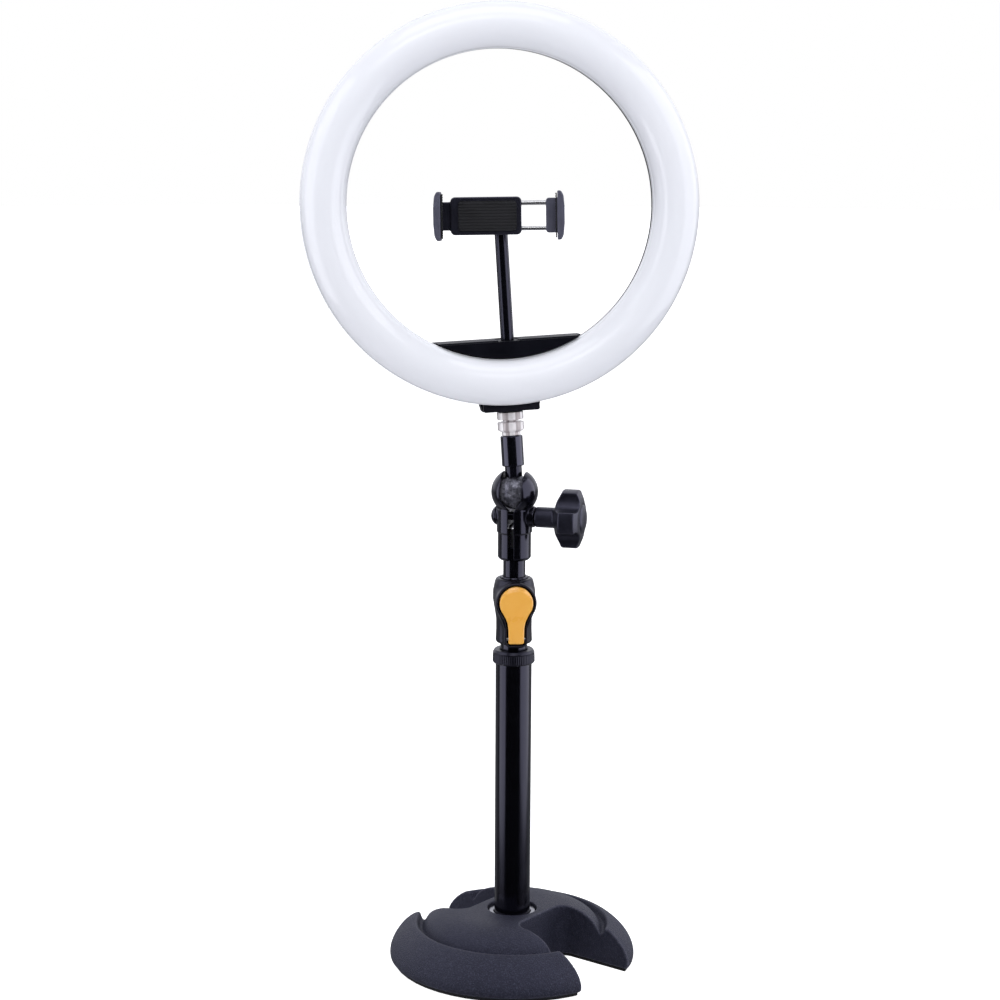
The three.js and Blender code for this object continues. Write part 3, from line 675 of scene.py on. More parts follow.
def nickel():
    """Nickel on the hexagonal adapter and nut: polished flats and fine upright scratches. Darker bands painted into the
    colour at fixed angles round the axis stand in for reflections, and the groove is darkened with painted shade.
    """
    m, nt, bsdf = tree("nickel")
    streak = spread(nt, noise(nt, 700.0, 4.0, 0.6, stretch=(1, 1, 0.05)), 0, 1, 0.35, 0.65)
    flat = mix(nt, streak, (0.94, 0.895, 0.91), (1.0, 0.975, 0.985))
    painted_dark_band = mix(nt, streak, (0.42, 0.37, 0.38), (0.60, 0.545, 0.555))
    at = along(nt, HEAD)
    six = times(nt, times(nt, at[0], at[1], "ARCTAN2"), 6.0)
    wave = nt.nodes.new("ShaderNodeMath")
    wave.operation = "COSINE"
    nt.links.new(six, wave.inputs[0])
    # painted reflection: the colour turns darker in bands at six fixed angles round the head's axis
    corner = spread(nt, wave.outputs[0], 1.0, 0.0, -0.35, 0.1)
    colour = mix(nt, corner, flat, painted_dark_band)
    # painted shade: hollows such as the groove are darkened towards black
    colour = mix(nt, spread(nt, edges(nt, 0.0, 1.0), 0.95, 0.0, 0.40, 0.485), colour, (0.06, 0.05, 0.05))
    nt.links.new(colour, bsdf.inputs["Base Color"])
    nt.links.new(spread(nt, streak, 0.20, 0.28, 0, 1), bsdf.inputs["Roughness"])
    bsdf.inputs["Metallic"].default_value = 0.1
    bsdf.inputs["Coat Weight"].default_value = 0.3
    bsdf.inputs["Coat Roughness"].default_value = 0.1
    bump(nt, bsdf, (streak, 0.10, 1.5e-5))


def ball_paint():
    """Black enamel on the ball, worn to brushed grey arcs where it has turned in the socket."""
    m, nt, bsdf = tree("ball")
    patch = spread(nt, noise(nt, 70.0, 2.0, 0.5, offset=(0.3, 0.1, 0.2)), 0.15, 1, 0.44, 0.58)
    scratch = spread(nt, noise(nt, 260.0, 5.0, 0.65, stretch=(1.3, 1.3, 1.9)), 0.1, 1, 0.36, 0.60)
    cross = spread(nt, noise(nt, 300.0, 4.0, 0.6, stretch=(7.0, 1.0, 1.0)), 0, 1, 0.45, 0.7)
    mark_mask = times(nt, patch, times(nt, times(nt, scratch, 0.7), times(nt, cross, 0.3), "ADD"))
    mark_mask = times(nt, mark_mask, spread(nt, along(nt, HEAD)[2], 1, 0, 0.0072, 0.0100))
    nt.links.new(mix(nt, mark_mask, (0.003, 0.003, 0.005), (0.34, 0.34, 0.40)), bsdf.inputs["Base Color"])
    nt.links.new(spread(nt, mark_mask, 0.16, 0.42, 0, 1), bsdf.inputs["Roughness"])
    nt.links.new(times(nt, mark_mask, 0.4), bsdf.inputs["Metallic"])
    bsdf.inputs["Specular Tint"].default_value = (*DARK_TINT, 1)
    bsdf.inputs["Coat Weight"].default_value = 0.1
    bump(nt, bsdf, (scratch, 0.15, 2e-5))


opal()
nickel()
ball_paint()

# ------------------------------------------------------------------ base
OUTER = [(80.4, 2), (82.0, 3.6), (82.4, 6), (81.8, 9.6), (80.0, 13.8), (76.9, 18.2), (72.5, 22.4), (68.3, 25.5),
         (65.2, 26.9), (63.8, 26.0), (62.8, 23.2), (61.4, 21.9), (60.0, 22.5), (58.6, 25.2), (56.7, 28.1), (53.7, 30.8),
         (49.0, 33.5), (43.0, 35.3), (35.5, 36.1), (24, 36.1)]
BASE_PROFILE = (soft([(5.2, 10), (14, 10), (14, 2), (79.9, 2)], 0.3, closed=False) + chaikin(OUTER[1:], 2)
                + soft([(20, 36.1), (16.5, 36.1), (16.5, 15), (5.2, 15)], 0.9, closed=False))


def slot_at(x, y, angle, inner=22.0, half=26.0, corner=8.8):
    c, s = math.cos(math.radians(angle)), math.sin(math.radians(angle))
    u, v = x * c + y * s, -x * s + y * c
    return d_box2(u, v, inner, -half, inner + 200, half, corner)


def base(x, y, z):
    d = d_poly(np.hypot(x, y), z, BASE_PROFILE)
    for a in (-38, 142):
        d = less(d, slot_at(x, y, a), 1.1)
    return d


grown("base_casting_fine", base, (-85, -85, 0), (85, 85, 38), 0.85, "base", "powder_coat", "powder", "base_casting")

# ------------------------------------------------------------------ column
piece("bore_ring_fine", lathe([(12.25, 15), (16.2, 15), (16.2, 33.1), (15.3, 33.9), (12.95, 33.9), (12.25, 33.3)], 96, 0.4),
      "base", "chrome_plate", "turned", "bore_ring")
piece("lower_tube_fine", lathe([(10.6, 15), (11.95, 15), (11.95, 208), (10.6, 208)], 96, 0.3), "base", "gloss_black", "gloss",
      "lower_tube")
piece("mid_tube_fine", lathe([(7.75, 66), (8.8, 66), (8.8, 229), (7.75, 229)], 96, 0.3), "mid", "gloss_black", "gloss",
      "mid_tube")
piece("inner_rod_fine", lathe([(5.9, 92), (7.3, 92), (7.3, 284.3), (5.9, 284.3)], 80, 0.3), "rod", "gloss_black", "gloss",
      "inner_rod")


def ribs(angles, r, z):
    """Fine ribs on the collar's band, fading out at its two ends."""
    if r < 13.2 or not 206.4 < z < 212.9:
        return np.full(len(angles), r)
    return r + 0.11 * (np.cos(angles * 64) - 1)


piece("twist_collar_fine",
      lathe([(12.25, 206), (13.1, 206), (13.95, 206.9), (13.9, 209.5), (13.75, 212.6), (13.75, 213.4), (12.7, 215.1),
             (9.8, 215.1), (9.2, 214.5), (9.2, 209), (12.25, 209)], 384, 0.35, shape=ribs, n=3),
      "collar", "satin_plastic", "clutch", "twist_collar", sharp=60)

# ------------------------------------------------------------------ clutch
BARREL = soft([(0, 219.8, 0), (11.2, 219.8, 1.2), (12.05, 221.2, 1.0), (11.75, 229, 8), (11.8, 236, 8), (12.8, 242.5, 6),
               (14.0, 249.5, 6), (13.9, 255, 5), (12.9, 260, 4), (12.2, 262.4, 0.8), (11.2, 263.2, 0.8), (0, 263.2, 0)], 1,
              closed=False, n=5)


def lever_line(g):
    p = arc(0, LEVER_Z, 11.0 + g, -38, 218, 40)
    p += [(-(6.0 + g), 236.6), (-(5.25 + g), 232), (-(5.1 + g), 226)]
    p += arc(-3.9, 222.6, 1.2 + g, 180, 270, 5) + arc(3.9, 222.6, 1.2 + g, 270, 360, 5)
    p += [(5.1 + g, 226), (5.25 + g, 232), (6.0 + g, 236.6)]
    return soft(p, 14, n=3)


LEVER_OUT, LEVER_ROOM = lever_line(0.0), lever_line(1.1)
TROUGH = soft([(-7.7, 218.6), (7.7, 218.6), (7.7, 232), (11.4, 243), (-11.4, 243), (-7.7, 232)], 5, n=5)


def housing(x, y, z):
    r = np.hypot(x, y)
    d = d_poly(r, z, BARREL)
    slabbed = np.maximum(-14.4 - y, y + 4)
    bezel = both(np.hypot(x, z - LEVER_Z) - 13.45, slabbed, 1.0)
    tail = both(d_poly(x, z, TROUGH), slabbed, 0.9)
    front = join(bezel, tail, 2.2)
    d = join(d, front, 1.6)
    d = less(d, both(d_poly(x, z, LEVER_ROOM), y + 8.75), 0.45)
    d = less(d, both(r - 9.3, 258 - z), 0.35)
    d = less(d, r - 7.7)
    d = less(d, both(r - 9.1, z - 229.3), 0.3)
    d = less(d, both(both(r - 9.9, z - 240), 231 - z))
    return d


grown("clutch_housing_fine", housing, (-15.5, -15.6, 217.8), (15.5, 15, 264.5), 0.44, "mid", "satin_plastic", "clutch",
      "clutch_housing", frame_of=CLUTCH)


def lever(x, y, z):
    outline = d_poly(x, z, LEVER_OUT)
    bulge = np.clip((z - 250.0) / 9.5, 0, 1)
    slope = 0.8 + 2.5 * bulge * bulge * (3 - 2 * bulge)
    low = np.clip((227.5 - z) / 6.0, 0, 1)
    face = -15.6 - y + 0.55 * low * low
    d = both(outline, face, 0.5)
    d = both(d, (outline + 1.83 * face + slope) * 0.48, 0.25)
    d = both(d, y + 11.0, 0.3)
    return less(d, np.hypot(y + 12.6, z - 224.4) - 1.3, 0.15)


grown("clutch_lever_fine", lever, (-12, -16.6, 220.4), (12, -10.2, 260.6), 0.36, "lever", "lever_orange", "lever",
      "clutch_lever", frame_of=CLUTCH)
piece("clutch_top_bush_fine", lathe([(7.65, 258.3), (9.0, 258.3), (9.0, 263.6), (8.6, 264.3), (7.65, 264.3)], 80, 0.35), "mid",
      "nylon_black", "gloss", "clutch_top_bush", frame_of=CLUTCH)

# ------------------------------------------------------------------ split ball joint
BODY = soft([(0, 275.5, 0), (9.4, 275.5, 1.4), (10.9, 277.2, 1.6), (10.9, 293.4, 0.35), (11.62, 294.1, 0.35), (11.62, 309, 1.2),
             (10.6, 312.5, 1), (0, 312.5, 0)], 1, closed=False, n=4)


def socket(side):
    def f(x, y, z):
        r = np.hypot(x, y)
        ball = np.sqrt(x * x + y * y + (z - BALL_Z) ** 2)
        d = join(d_poly(r, z, BODY), ball - 15.35, 0.5)
        boss = np.hypot(y, z - BOLT_Z)
        d = join(d, both(boss - 6.9, np.maximum(6 - x, x - 14.0), 0.9), 0.5)
        d = join(d, both(boss - 6.6, np.maximum(x + 6, -11.6 - x), 0.9), 0.5)
        v = d_poly(x, z, [(-7.15, 316), (-1.95, 309.2), (1.95, 309.2), (7.15, 316), (7.15, 345), (-7.15, 345)])
        d = less(d, v, 0.75)
        d = both(d, 1.95 - side * x, 0.35)
        d = less(d, both(r - 7.6, z - 299), 0.3)
        d = less(d, ball - 12.9, 0.5)
        return less(d, boss - 3.2, 0.3)
    return f


for side, name in ((-1, "left"), (1, "right")):
    x0, x1 = (-16.4, -1.0) if side < 0 else (1.0, 16.4)
    grown("socket_half_%s_fine" % name, socket(side), (x0, -16.4, 274.4), (x1, 16.4, 337), 0.42, "socket", "gloss_black",
          "gloss", "socket_half_" + name, frame_of=JOINT)


def bolt(x, y, z):
    r = np.hypot(y, z - BOLT_Z)
    shank = both(r - 2.9, np.maximum(-12.4 - x, x - 31), 0.3)
    dome = both(np.sqrt((x + 9.4) ** 2 * 1.25 + r * r) - 7.0, np.maximum(r - 6.2, x + 11.9), 0.45)
    d = join(shank, dome, 0.3)
    hexa = np.max([np.abs(y * math.cos(a) + (z - BOLT_Z) * math.sin(a)) for a in (0, math.pi / 3, 2 * math.pi / 3)], 0) - 2.5
    return less(d, both(hexa, x + 13.9), 0.25)


grown("clamp_bolt_fine", bolt, (-16.6, -7, 297.2), (31.6, 7, 311.4), 0.32, "socket", "gloss_black", "gloss", "clamp_bolt",
      frame_of=JOINT)

KNOB = soft([(0, 14.3, 0), (6.1, 14.3, 0.6), (6.7, 15.1, 0.6), (6.75, 26.9, 1.2), (8.8, 28.0, 1.2), (12.2, 28.9, 4), (16.0, 31.1, 6),
             (18.5, 32.4, 0.5), (19.2, 33.2, 0.6), (19.2, 42.2, 0.9), (18.6, 43.1, 0.9), (14.0, 45.0, 5), (11.0, 45.6, 1.0),
             (0, 45.6, 0)], 1, closed=False, n=5)


def knob(x, y, z):
    w = z - BOLT_Z
    r = np.hypot(y, w)
    d = d_poly(r, x, KNOB)
    for a in (45, 135, 225, 315):
        cy, cz = 21 * math.cos(math.radians(a)), 21 * math.sin(math.radians(a))
        notch = np.hypot(y - cy, w - cz) - 8.3
        d = less(d, both(notch, 25.5 - x, 1.0), 0.5)
    d = less(d, both(r - 5.3, x - 31.6), 0.3)
    return less(d, both(r - 10.0, 44.4 - x), 0.35)


grown("clamp_knob_fine", knob, (13.4, -20.2, 284), (46.6, 20.2, 324.6), 0.5, "knob", "satin_plastic", "satin", "clamp_knob",
      frame_of=JOINT)
piece("knob_cap_fine",
      apply_to(lathe([(0, 44.7, 0), (9.7, 44.7, 0.3), (9.7, 45.5, 0.6), (8.4, 46.5, 3), (5.5, 47.35, 6), (2.6, 47.75, 6), (0, 47.8, 0)],
                     96, 0.5), shift(0, 0, BOLT_Z) @ ALONG_X),
      "knob", "satin_plastic", "satin", "knob_cap", frame_of=JOINT)

neck_angle = math.asin(5.55 / 11.5)
ball_part = [(0, -11.5, 0)] + [(11.5 * math.sin(a), -11.5 * math.cos(a), 0)
                               for a in np.linspace(0.03, math.pi - neck_angle, 48)]
piece("ball_fine", lathe(ball_part + [(5.55, 10.6, 0.6), (5.55, 17.2, 0.05), (0, 17.2, 0)], 128, 0.3),
      "stem", "gloss_black", "ball", frame_of=HEAD)
piece("ball_stem_fine",
      lathe([(5.5, 17.0, 0.1), (6.75, 17.0, 0.3), (7.25, 17.5, 0.4), (7.25, 36.4, 0.35), (6.9, 36.9, 0.3), (4.6, 36.9, 0.1),
             (4.6, 45, 0.3), (0, 45, 0), (0, 17.1, 0), (5.5, 17.1, 0)], 112, 0.4),
      "stem", "gloss_black", "enamel", "ball_stem", frame_of=HEAD)

# ------------------------------------------------------------------ adapter
piece("threaded_adapter_fine",
      lathe([(4.9, 37.2), (6.1, 37.2), (6.1, 39.4, 0.2), (7.6, 40.0, 0.3), (8.75, 40.9, 0.2), (8.75, 45.7, 0.15), (8.45, 46.0, 0.1),
             (5.0, 46.05, 0.1), (5.0, 47.2, 0.1), (3.1, 47.2, 0.1), (3.1, 60.1, 0.2), (2.7, 60.5, 0.2), (0.3, 60.5, 0.1),
             (0.3, 45.3, 0.1), (4.9, 45.3, 0.1)],
            240, 0.3, shape=lambda a, r, z: facets(12)(a, r, z) if r > 7.7 else np.full(len(a), r)),
      "head", "chrome_plate", "nickel", "threaded_adapter", frame_of=HEAD)
piece("adapter_lock_nut_fine",
      lathe([(3.4, 47.5), (8.4, 47.5), (8.75, 47.85), (8.75, 52.2), (8.5, 52.5), (3.4, 52.5)], 240, 0.12,
            shape=lambda a, r, z: facets(12)(a, r, z) if r > 7.7 else np.full(len(a), r)),
      "lock_nut", "chrome_plate", "nickel", "adapter_lock_nut", frame_of=HEAD)
piece("adapter_washer_fine", lathe([(3.4, 52.75), (8.2, 52.75), (8.2, 53.3), (3.4, 53.3)], 80, 0.15), "head", "pad_rubber",
      "rubber", "adapter_washer", frame_of=HEAD)

# ------------------------------------------------------------------ head
RZ, CHORD = 186.2, 100.2


def crescent(r, top, n=72):
    a = math.degrees(math.acos((RZ - top) / r))
    return arc(0, RZ, r, 270 - a, 270 + a, n)


piece("crescent_cover_fine", slab(crescent(97.4, CHORD - 0.9), -22.3, -20.7, 0.4), "head", "matte_housing", "matte",
      "crescent_cover", frame_of=HEAD)
OUTLINE = [(-18.25, 53.6), (18.25, 53.6), (20.5, 62), (43, 88), (48.3, 95), (48.3, 100.2), (-48.3, 100.2), (-48.3, 95), (-43, 88),
           (-20.5, 62)]


def rod_shape(r, z0, z1, seg=64, m=None):
    s = lathe([(0, z0, 0), (r, z0, 0), (r, z1, 0), (0, z1, 0)], seg, 0)
    return s if m is None else apply_to(s, m)


BUTTONS = (("button_dimmer", "dimmer_button", -11), ("button_power", "power_button", 0), ("button_brighter", "brighter_button", 11))
SCREWS = ((-41, 92.6), (41, 92.6), (-13.4, 59.2), (13.4, 59.2))
cover = slab(soft([(x * 0.985, z) for x, z in OUTLINE], 1.2, n=5), 8.8, 10.6, 0.5)
cutters = [rod_shape(3.4, 0, 30, 64, shift(x, 0, 88) @ ALONG_Y) for _, _, x in BUTTONS]
cutters += [rod_shape(1.7, 0, 30, 40, shift(x, 0, z) @ ALONG_Y) for x, z in SCREWS]
cutters += [slab(rounded(-8.3, 68.5, 8.3, 79.1, 2), 0, 30, 0.01)]
for x in (-27, -23.5, -20, 20, 23.5, 27):
    cutters.append(slab(rounded(x - 0.7, 82, x + 0.7, 94, 0.69), 10.0, 30, 0.01))
piece("rear_cover_fine", carve(cover, *cutters), "head", "matte_housing", "matte", "rear_cover", frame_of=HEAD)
inlet = carve(slab(rounded(-8, 68.8, 8, 78.8, 1.8), 0.8, 11.2, 0.4), slab(rounded(-6.6, 70.2, 6.6, 77.4, 1.6), 2.2, 30, 0.01))
piece("power_inlet_fine", inlet, "head", "nylon_black", "nylon", "power_inlet", frame_of=HEAD)
for node_name, body, x in BUTTONS:
    piece(node_name + "_fine",
          apply_to(lathe([(0, 7.4, 0), (4.4, 7.4), (4.4, 8.4), (3.1, 8.4), (3.1, 11.3, 0.7), (2.3, 11.95, 2), (0, 12.0, 0)], 64, 0.2),
                   shift(x, 0, 88) @ ALONG_Y),
          body, "soft_rubber", "rubber", node_name, frame_of=HEAD)
for i, (x, z) in enumerate(SCREWS):
    head_shape = lathe([(0, 4.1, 0), (1.1, 4.1), (1.1, 10.9, 0.05), (2.7, 10.9, 0.15), (2.7, 11.3, 0.3), (1.9, 12.0, 0.6), (0, 12.3, 0)],
                       48, 0.2)
    cross = [slab(rounded(-1.4, -0.27, 1.4, 0.27, 0.1), 11.5, 20, 0.01), slab(rounded(-0.27, -1.4, 0.27, 1.4, 0.1), 11.5, 20, 0.01)]
    piece("cover_screw_%d_fine" % (i + 1), apply_to(carve(apply_to(head_shape, ALONG_Y), *cross), shift(x, 0, z) @ turn("Y", 17 * i)),
          "head", "bright_steel", "steel", "cover_screw_%d" % (i + 1), frame_of=HEAD)

# ring
piece("ring_rear_shell_fine",
      lathe([(98.7, 7.8), (100.7, 7.8), (100.7, 15), (125.5, 15), (125.5, 7.8), (127.5, 7.8), (127.5, 14.2, 1.6), (125.3, 17, 1.6),
             (119, 17, 0.3), (118.4, 16.5, 0.3), (108, 16.5, 0.3), (107.4, 17, 0.3), (100.9, 17, 1.6), (98.7, 14.2, 1.6)], 256, 0.4),
      "head", "matte_housing", "matte", "ring_rear_shell", frame_of=RING)
rm, hw, T = 113.1, 14.8, 1.8


def half(w, d, n):
    return [(rm + w * math.cos(math.pi * i / n), -d * math.sin(math.pi * i / n), 0) for i in range(n + 1)]


opal_profile = ([(127.9, 7.5, 0.3), (127.9, 2.6, 0.25), (127.45, 1.9, 0.4)]
                + [(rm + (hw - 0.45) * math.cos(math.pi * i / 40), 1.0 - 14.5 * math.sin(math.pi * i / 40), 0) for i in range(1, 40)]
                + [(98.6, 1.9, 0.4), (98.3, 2.6, 0.25), (98.3, 7.5, 0.3), (100.1, 7.5, 0.2)]
                + half(hw - T, 11.7, 20)[::-1][1:-1] + [(126.1, 7.5, 0.2)])
piece("diffuser_fine", lathe(opal_profile, 288, 0.3), "head", "opal", "opal", "diffuser", frame_of=RING)

# ------------------------------------------------------------------ phone holder
piece("holder_stem_fine",
      lathe([(0, 90, 0), (4.25, 90), (4.25, HZ - 8.6, 0.8), (3.2, HZ - 7.3, 0.5), (0, HZ - 7, 0)], 64, 0.5),
      "holder_stem", "gloss_black", "gloss", frame_of=HOLDER)


def stem_eye(x, y, z):
    d = both(np.hypot(y, z - HZ) - 5.4, np.abs(x) - 2.5, 0.4)
    return join(d, d_box(x, y, z, (-2.5, -3, HZ - 9), (2.5, 3, HZ), 0.4), 0.6)


grown("holder_stem_eye", stem_eye, (-3.4, -6.4, HZ - 10), (3.4, 6.4, HZ + 6.4), 0.35, "holder_stem", "gloss_black", "gloss",
      "holder_stem", frame_of=HOLDER)


def knuckle(x, y, z):
    w = z - HZ
    d = both(np.hypot(y, w) - 5.8, np.abs(x) - 5.4, 0.5)
    d = join(d, d_box(x, y, z, (-5.4, -8.6, HZ - 5.2), (5.4, -3, HZ + 5.2), 0.5), 0.6)
    d = join(d, both(np.hypot(x, w) - 6.2, np.maximum(-9.2 - y, y + 6.4), 0.4), 0.4)
    d = join(d, both(np.hypot(x, w) - 2.6, np.maximum(-14.2 - y, y + 6.0), 0.3))
    return less(d, np.maximum(np.abs(x) - 2.8, -6.1 - y), 0.3)


grown("holder_knuckle_fine", knuckle, (-7.2, -15, HZ - 7.2), (7.2, 6.8, HZ + 7.2), 0.4, "holder_knuckle", "satin_plastic", "satin",
      "holder_knuckle", frame_of=HOLDER)


def back(x, y, z):
    w = z - HZ
    d = both(d_box2(x, w, -31, -12, 14, 12, 3), np.maximum(-17 - y, y + 9.5), 0.8)
    d = join(d, both(d_box2(x, w, -38.5, -9, -28, 9, 2), np.maximum(-15 - y, y + 10.5), 0.6), 0.8)
    pocket = both(d_box2(x, w, -26, -8.5, -9.5, 8.5, 2), -10.6 - y, 0.3)
    d = less(d, pocket, 0.4)
    for x0 in (-23.2, -18.6, -14.0):
        d = join(d, d_box(x, y, z, (x0 - 0.5, -11.5, HZ - 8.5), (x0 + 0.5, -9.8, HZ + 8.5), 0.2), 0.3)
    d = less(d, both(np.hypot(x, w) - 2.9, -14.6 - y), 0.3)
    for o in (-8, 8):
        d = less(d, both(np.hypot(y + 13.2, w - o) - 1.7, np.maximum(-28 - x, -x - 28)), 0.2)
    return d


grown("holder_back_fine", back, (-41, -18, HZ - 13), (15, -8.6, HZ + 13), 0.45, "holder", "satin_plastic", "satin", "holder_back",
      frame_of=CLAMP)


def pad(x0, x1, z0, z1, y_face, y_back, pitch, depth, across):
    """A rubber pad with ribs. across says which way its ribs repeat."""
    def f(x, y, z):
        d = both(d_box2(x, z, x0, z0, x1, z1, 2.2), np.maximum(y_face - y, y - y_back), 0.25)
        t = (x if across == "x" else z) / pitch
        groove = np.abs(t - np.round(t)) * pitch - (pitch / 2 - 0.0)
        wave = depth * (0.5 + 0.5 * np.cos(2 * math.pi * t))
        return both(d, y_face - y + wave, 0.15)
    return f


grown("holder_back_pad_fine", pad(-26, 11, HZ - 9.5, HZ + 9.5, -18.3, -17.3, 1.9, 0.45, "z"), (-27, -18.9, HZ - 10.4),
      (12, -16.8, HZ + 10.4), 0.36, "holder", "soft_rubber", "rubber", "holder_back_pad", frame_of=CLAMP)


def jaw(s):
    o = 36.8
    side = soft([(o, HZ - 15.4, 0.6), (39.1, HZ - 15.4, 1.6), (40.7, HZ - 12.6, 6), (41.4, HZ - 5, 14), (41.4, HZ + 5, 14),
                 (40.7, HZ + 12.6, 6), (39.1, HZ + 15.4, 1.6), (o, HZ + 15.4, 0.6)], 1, n=6)

    def f(x, y, z):
        u, w = x * s, z - HZ
        d = both(d_poly(u, z, side), np.maximum(-29 - y, y + 10.5), 0.9)
        if s > 0:
            d = join(d, both(d_box2(u, w, 29.5, -11, 39.5, 11, 2), np.maximum(-16 - y, y + 10.5), 0.5), 0.4)
            for off in (-8, 8):
                d = less(d, both(np.hypot(y + 13.2, w - off) - 1.7, u - 33.5), 0.1)
        else:
            d = less(d, both(d_box2(u, w, 20, -9.3, 38.8, 9.3, 2), -15.3 - y), 0.2)
        return d
    return f


for s, name, body in ((-1, "left", "holder"), (1, "right", "jaw")):
    x0, x1 = (-42.3, -35.9) if s < 0 else (28.5, 42.3)
    grown(name + "_jaw_fine", jaw(s), (x0, -30, HZ - 16.4), (x1, -9.6, HZ + 16.4), 0.42, body, "satin_plastic", "jaw",
          name + "_jaw", frame_of=CLAMP)

    def jaw_pad(x, y, z, s=s):
        u = x * s
        d = d_box(u, y, z, (35.5, -27.6, HZ - 14), (36.5, -18.6, HZ + 14), 0.3)
        return both(d, 35.5 - u + 0.16 * (1 + np.cos(2 * math.pi * z / 1.6)), 0.1)
    grown(name + "_jaw_pad_fine", jaw_pad, (-37.1 if s < 0 else 35.0, -28.2, HZ - 14.6), (-35.0 if s < 0 else 37.1, -18, HZ + 14.6),
          0.3, body, "soft_rubber", "rubber", name + "_jaw_pad", frame_of=CLAMP)
for name, o in (("upper", 8), ("lower", -8)):
    piece("guide_rod_%s_fine" % name,
          apply_to(lathe([(0, -10, 0), (1.4, -10), (1.4, 33.2), (0, 33.2, 0)], 40, 0.3), shift(0, -13.2, HZ + o) @ ALONG_X),
          "jaw", "bright_steel", "steel", "guide_rod_" + name, frame_of=CLAMP)

# ------------------------------------------------------------------ solids that stay as they are
KEPT = {"base_pad": "rubber", "bolt_washer": "steel", "column_bolt": "steel", "tube_plug": "steel", "tube_top_bush": "nylon",
        "mid_foot_bush": "nylon", "clutch_spring_washer": "steel", "lever_pin": "steel", "lock_plate": "steel",
        "rod_foot_bush": "nylon", "rod_spigot": "steel", "knob_insert": "brass", "ball_seat_left": "nylon",
        "ball_seat_right": "nylon", "mount_bracket": "matte", "thread_insert": "brass", "driver_board": "board",
        "led_board": "white"}
for n, look in KEPT.items():
    o = NODES[n]
    o.data.materials.clear()
    o.data.materials.append(MATERIALS[look])
for n in NODES:
    if not NODES[n].hide_render and n not in KEPT:
        raise RuntimeError("no look for " + n)
for n in ("mount_bracket", "base_pad"):
    m = NODES[n].modifiers.new("edges", "BEVEL")
    m.width, m.segments, m.limit_method, m.angle_limit = 0.00035, 2, "ANGLE", math.radians(35)
    m.harden_normals = True

# ------------------------------------------------------------------ floor, light and camera
floor_mesh = to_mesh("floor", *[(lambda s: (s[0] * 0.001, s[1]))(lathe([(0, -0.3, 0), (9000, -0.3, 0), (9000, -20, 0), (0, -20, 0)], 96, 0))][0])
outward(floor_mesh)
m, nt, bsdf = tree("floor")
nt.links.new(mix(nt, spread(nt, noise(nt, 3.0, 2.0), 0, 1), (0.79, 0.79, 0.80), (0.81, 0.81, 0.82)), bsdf.inputs["Base Color"])
bsdf.inputs["Roughness"].default_value = 0.9
bsdf.inputs["Specular IOR Level"].default_value = 0.1
bsdf.inputs["Emission Color"].default_value = (1, 1, 1, 1)
away = node(nt, "ShaderNodeVectorMath", operation="LENGTH")
nt.links.new(node(nt, "ShaderNodeNewGeometry").outputs["Position"], away.inputs[0])
bright = spread(nt, away.outputs["Value"], 0.92, 1.0, 0.3, 1.6)
straight = node(nt, "ShaderNodeLightPath").outputs["Is Camera Ray"]
nt.links.new(times(nt, bright, spread(nt, straight, 0.08, 1.0, 0, 1)), bsdf.inputs["Emission Strength"])
floor_mesh.materials.append(m)
floor = bpy.data.objects.new("floor", floor_mesh)
scene.collection.objects.link(floor)
floor.visible_glossy = False


def softbox(name, place_at, aim, width, height, radiance, colour=(1, 1, 1), seen_in=("diffuse", "glossy")):
    light = bpy.data.lights.new(name, "AREA")
    light.shape, light.size, light.size_y = "RECTANGLE", width, height
    light.energy = radiance * math.pi * width * height
    light.color = colour
    o = bpy.data.objects.new(name, light)
    scene.collection.objects.link(o)
    o.location = place_at
    o.rotation_euler = (Vector(aim) - Vector(place_at)).to_track_quat("-Z", "Y").to_euler()
    o.visible_camera = False
    o.visible_diffuse = "diffuse" in seen_in
    o.visible_glossy = "glossy" in seen_in
    return o


def around(azimuth, distance, height):
    """A point at an angle to the right of the camera's side."""
    a = math.radians(azimuth)
    return (math.sin(a) * distance, -math.cos(a) * distance, height)


softbox("softbox_left", around(-75, 1.35, 0.62), (0, 0, 0.42), 1.3, 2.1, 1.75, (0.95, 0.955, 1.0), ("glossy",))
softbox("softbox_right", around(80, 1.45, 0.62), (0, 0, 0.42), 2.3, 2.1, 1.75, (0.95, 0.955, 1.0), ("glossy",))
softbox("fill_left", around(-77, 1.35, 0.62), (0, 0, 0.42), 1.35, 2.1, 1.15, (0.95, 0.955, 1.0), ("diffuse",))
softbox("fill_right", around(72, 1.45, 0.62), (0, 0, 0.42), 2.0, 2.1, 0.95, (0.95, 0.955, 1.0), ("diffuse",))
softbox("fill_front", (0.0, -2.3, 1.45), (0, 0, 0.5), 1.8, 1.0, 1.6, (0.97, 0.975, 1.0), ("diffuse",))
softbox("fill_high", (0.0, -1.0, 1.6), (0, 0, 0.5), 1.4, 0.6, 2.2, (0.97, 0.975, 1.0), ("diffuse",))
softbox("softbox_top", (0.0, -0.35, 2.1), (0, 0, 0.4), 1.6, 1.0, 1.9, (0.98, 0.985, 1.0))
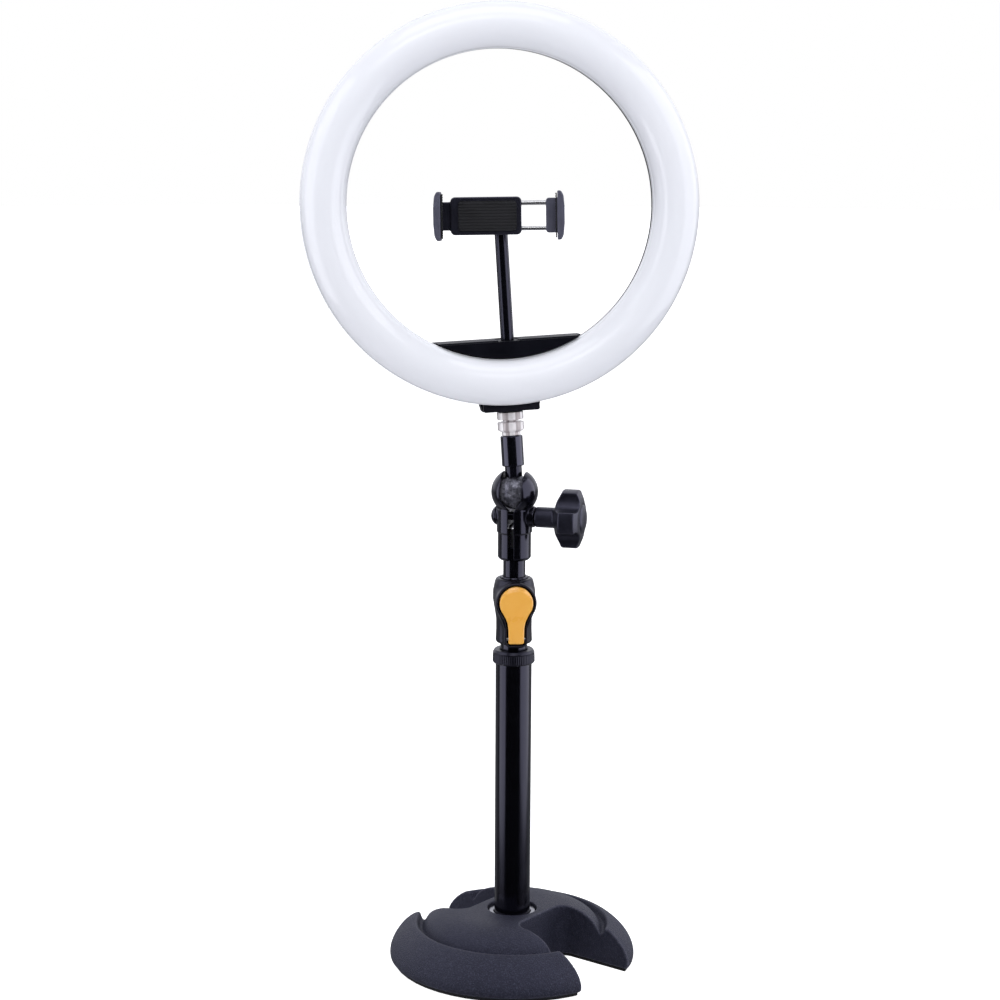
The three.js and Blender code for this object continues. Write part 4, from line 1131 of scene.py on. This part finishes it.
softbox("softbox_front", (0.0, -1.75, 1.95), (0, 0, 0.40), 1.5, 0.8, 1.9, (0.98, 0.985, 1.0))

softbox("strip_high", (-0.16, -1.36, 1.66), (-0.01, -0.05, 0.44), 0.34, 0.07, 4.0)
softbox("strip_low", (0.30, -1.72, 0.98), (0.04, -0.05, 0.46), 0.20, 0.06, 3.0)

world = bpy.data.worlds.new("studio")
scene.world = world
world.use_nodes = True
nt = world.node_tree
nt.nodes.clear()
out = nt.nodes.new("ShaderNodeOutputWorld")
seen, lit = nt.nodes.new("ShaderNodeBackground"), nt.nodes.new("ShaderNodeBackground")
seen.inputs["Color"].default_value = (1, 1, 1, 1)
seen.inputs["Strength"].default_value = 1.0
coord = nt.nodes.new("ShaderNodeTexCoord")
parts = nt.nodes.new("ShaderNodeSeparateXYZ")
nt.links.new(coord.outputs["Generated"], parts.inputs[0])
behind = spread(nt, parts.outputs["Y"], 0.03, 0.95, 0.05, 0.55)
above = spread(nt, parts.outputs["Z"], 0.25, 1.0, -0.12, 0.05)
below = spread(nt, parts.outputs["Z"], 0.25, 0.0, -0.9, -0.45)
nt.links.new(times(nt, times(nt, behind, above), below, "ADD"), lit.inputs["Strength"])
lit.inputs["Color"].default_value = (0.93, 0.94, 1.0, 1)
path, pick = nt.nodes.new("ShaderNodeLightPath"), nt.nodes.new("ShaderNodeMixShader")
nt.links.new(path.outputs["Is Camera Ray"], pick.inputs[0])
nt.links.new(lit.outputs[0], pick.inputs[1])
nt.links.new(seen.outputs[0], pick.inputs[2])
nt.links.new(pick.outputs[0], out.inputs[0])

cam_data = bpy.data.cameras.new("camera")
cam_data.sensor_width, cam_data.lens = 36.0, 86.4
cam_data.clip_start, cam_data.clip_end = 0.05, 60
camera = bpy.data.objects.new("camera", cam_data)
scene.collection.objects.link(camera)
camera.matrix_world = (Matrix.Translation((-0.0096, -1.545, 0.5928)) @ Matrix.Rotation(math.radians(90 - 10.2), 4, "X")
                       @ Matrix.Rotation(math.radians(0.3), 4, "Z"))
scene.camera = camera
scene.view_settings.view_transform = "Standard"
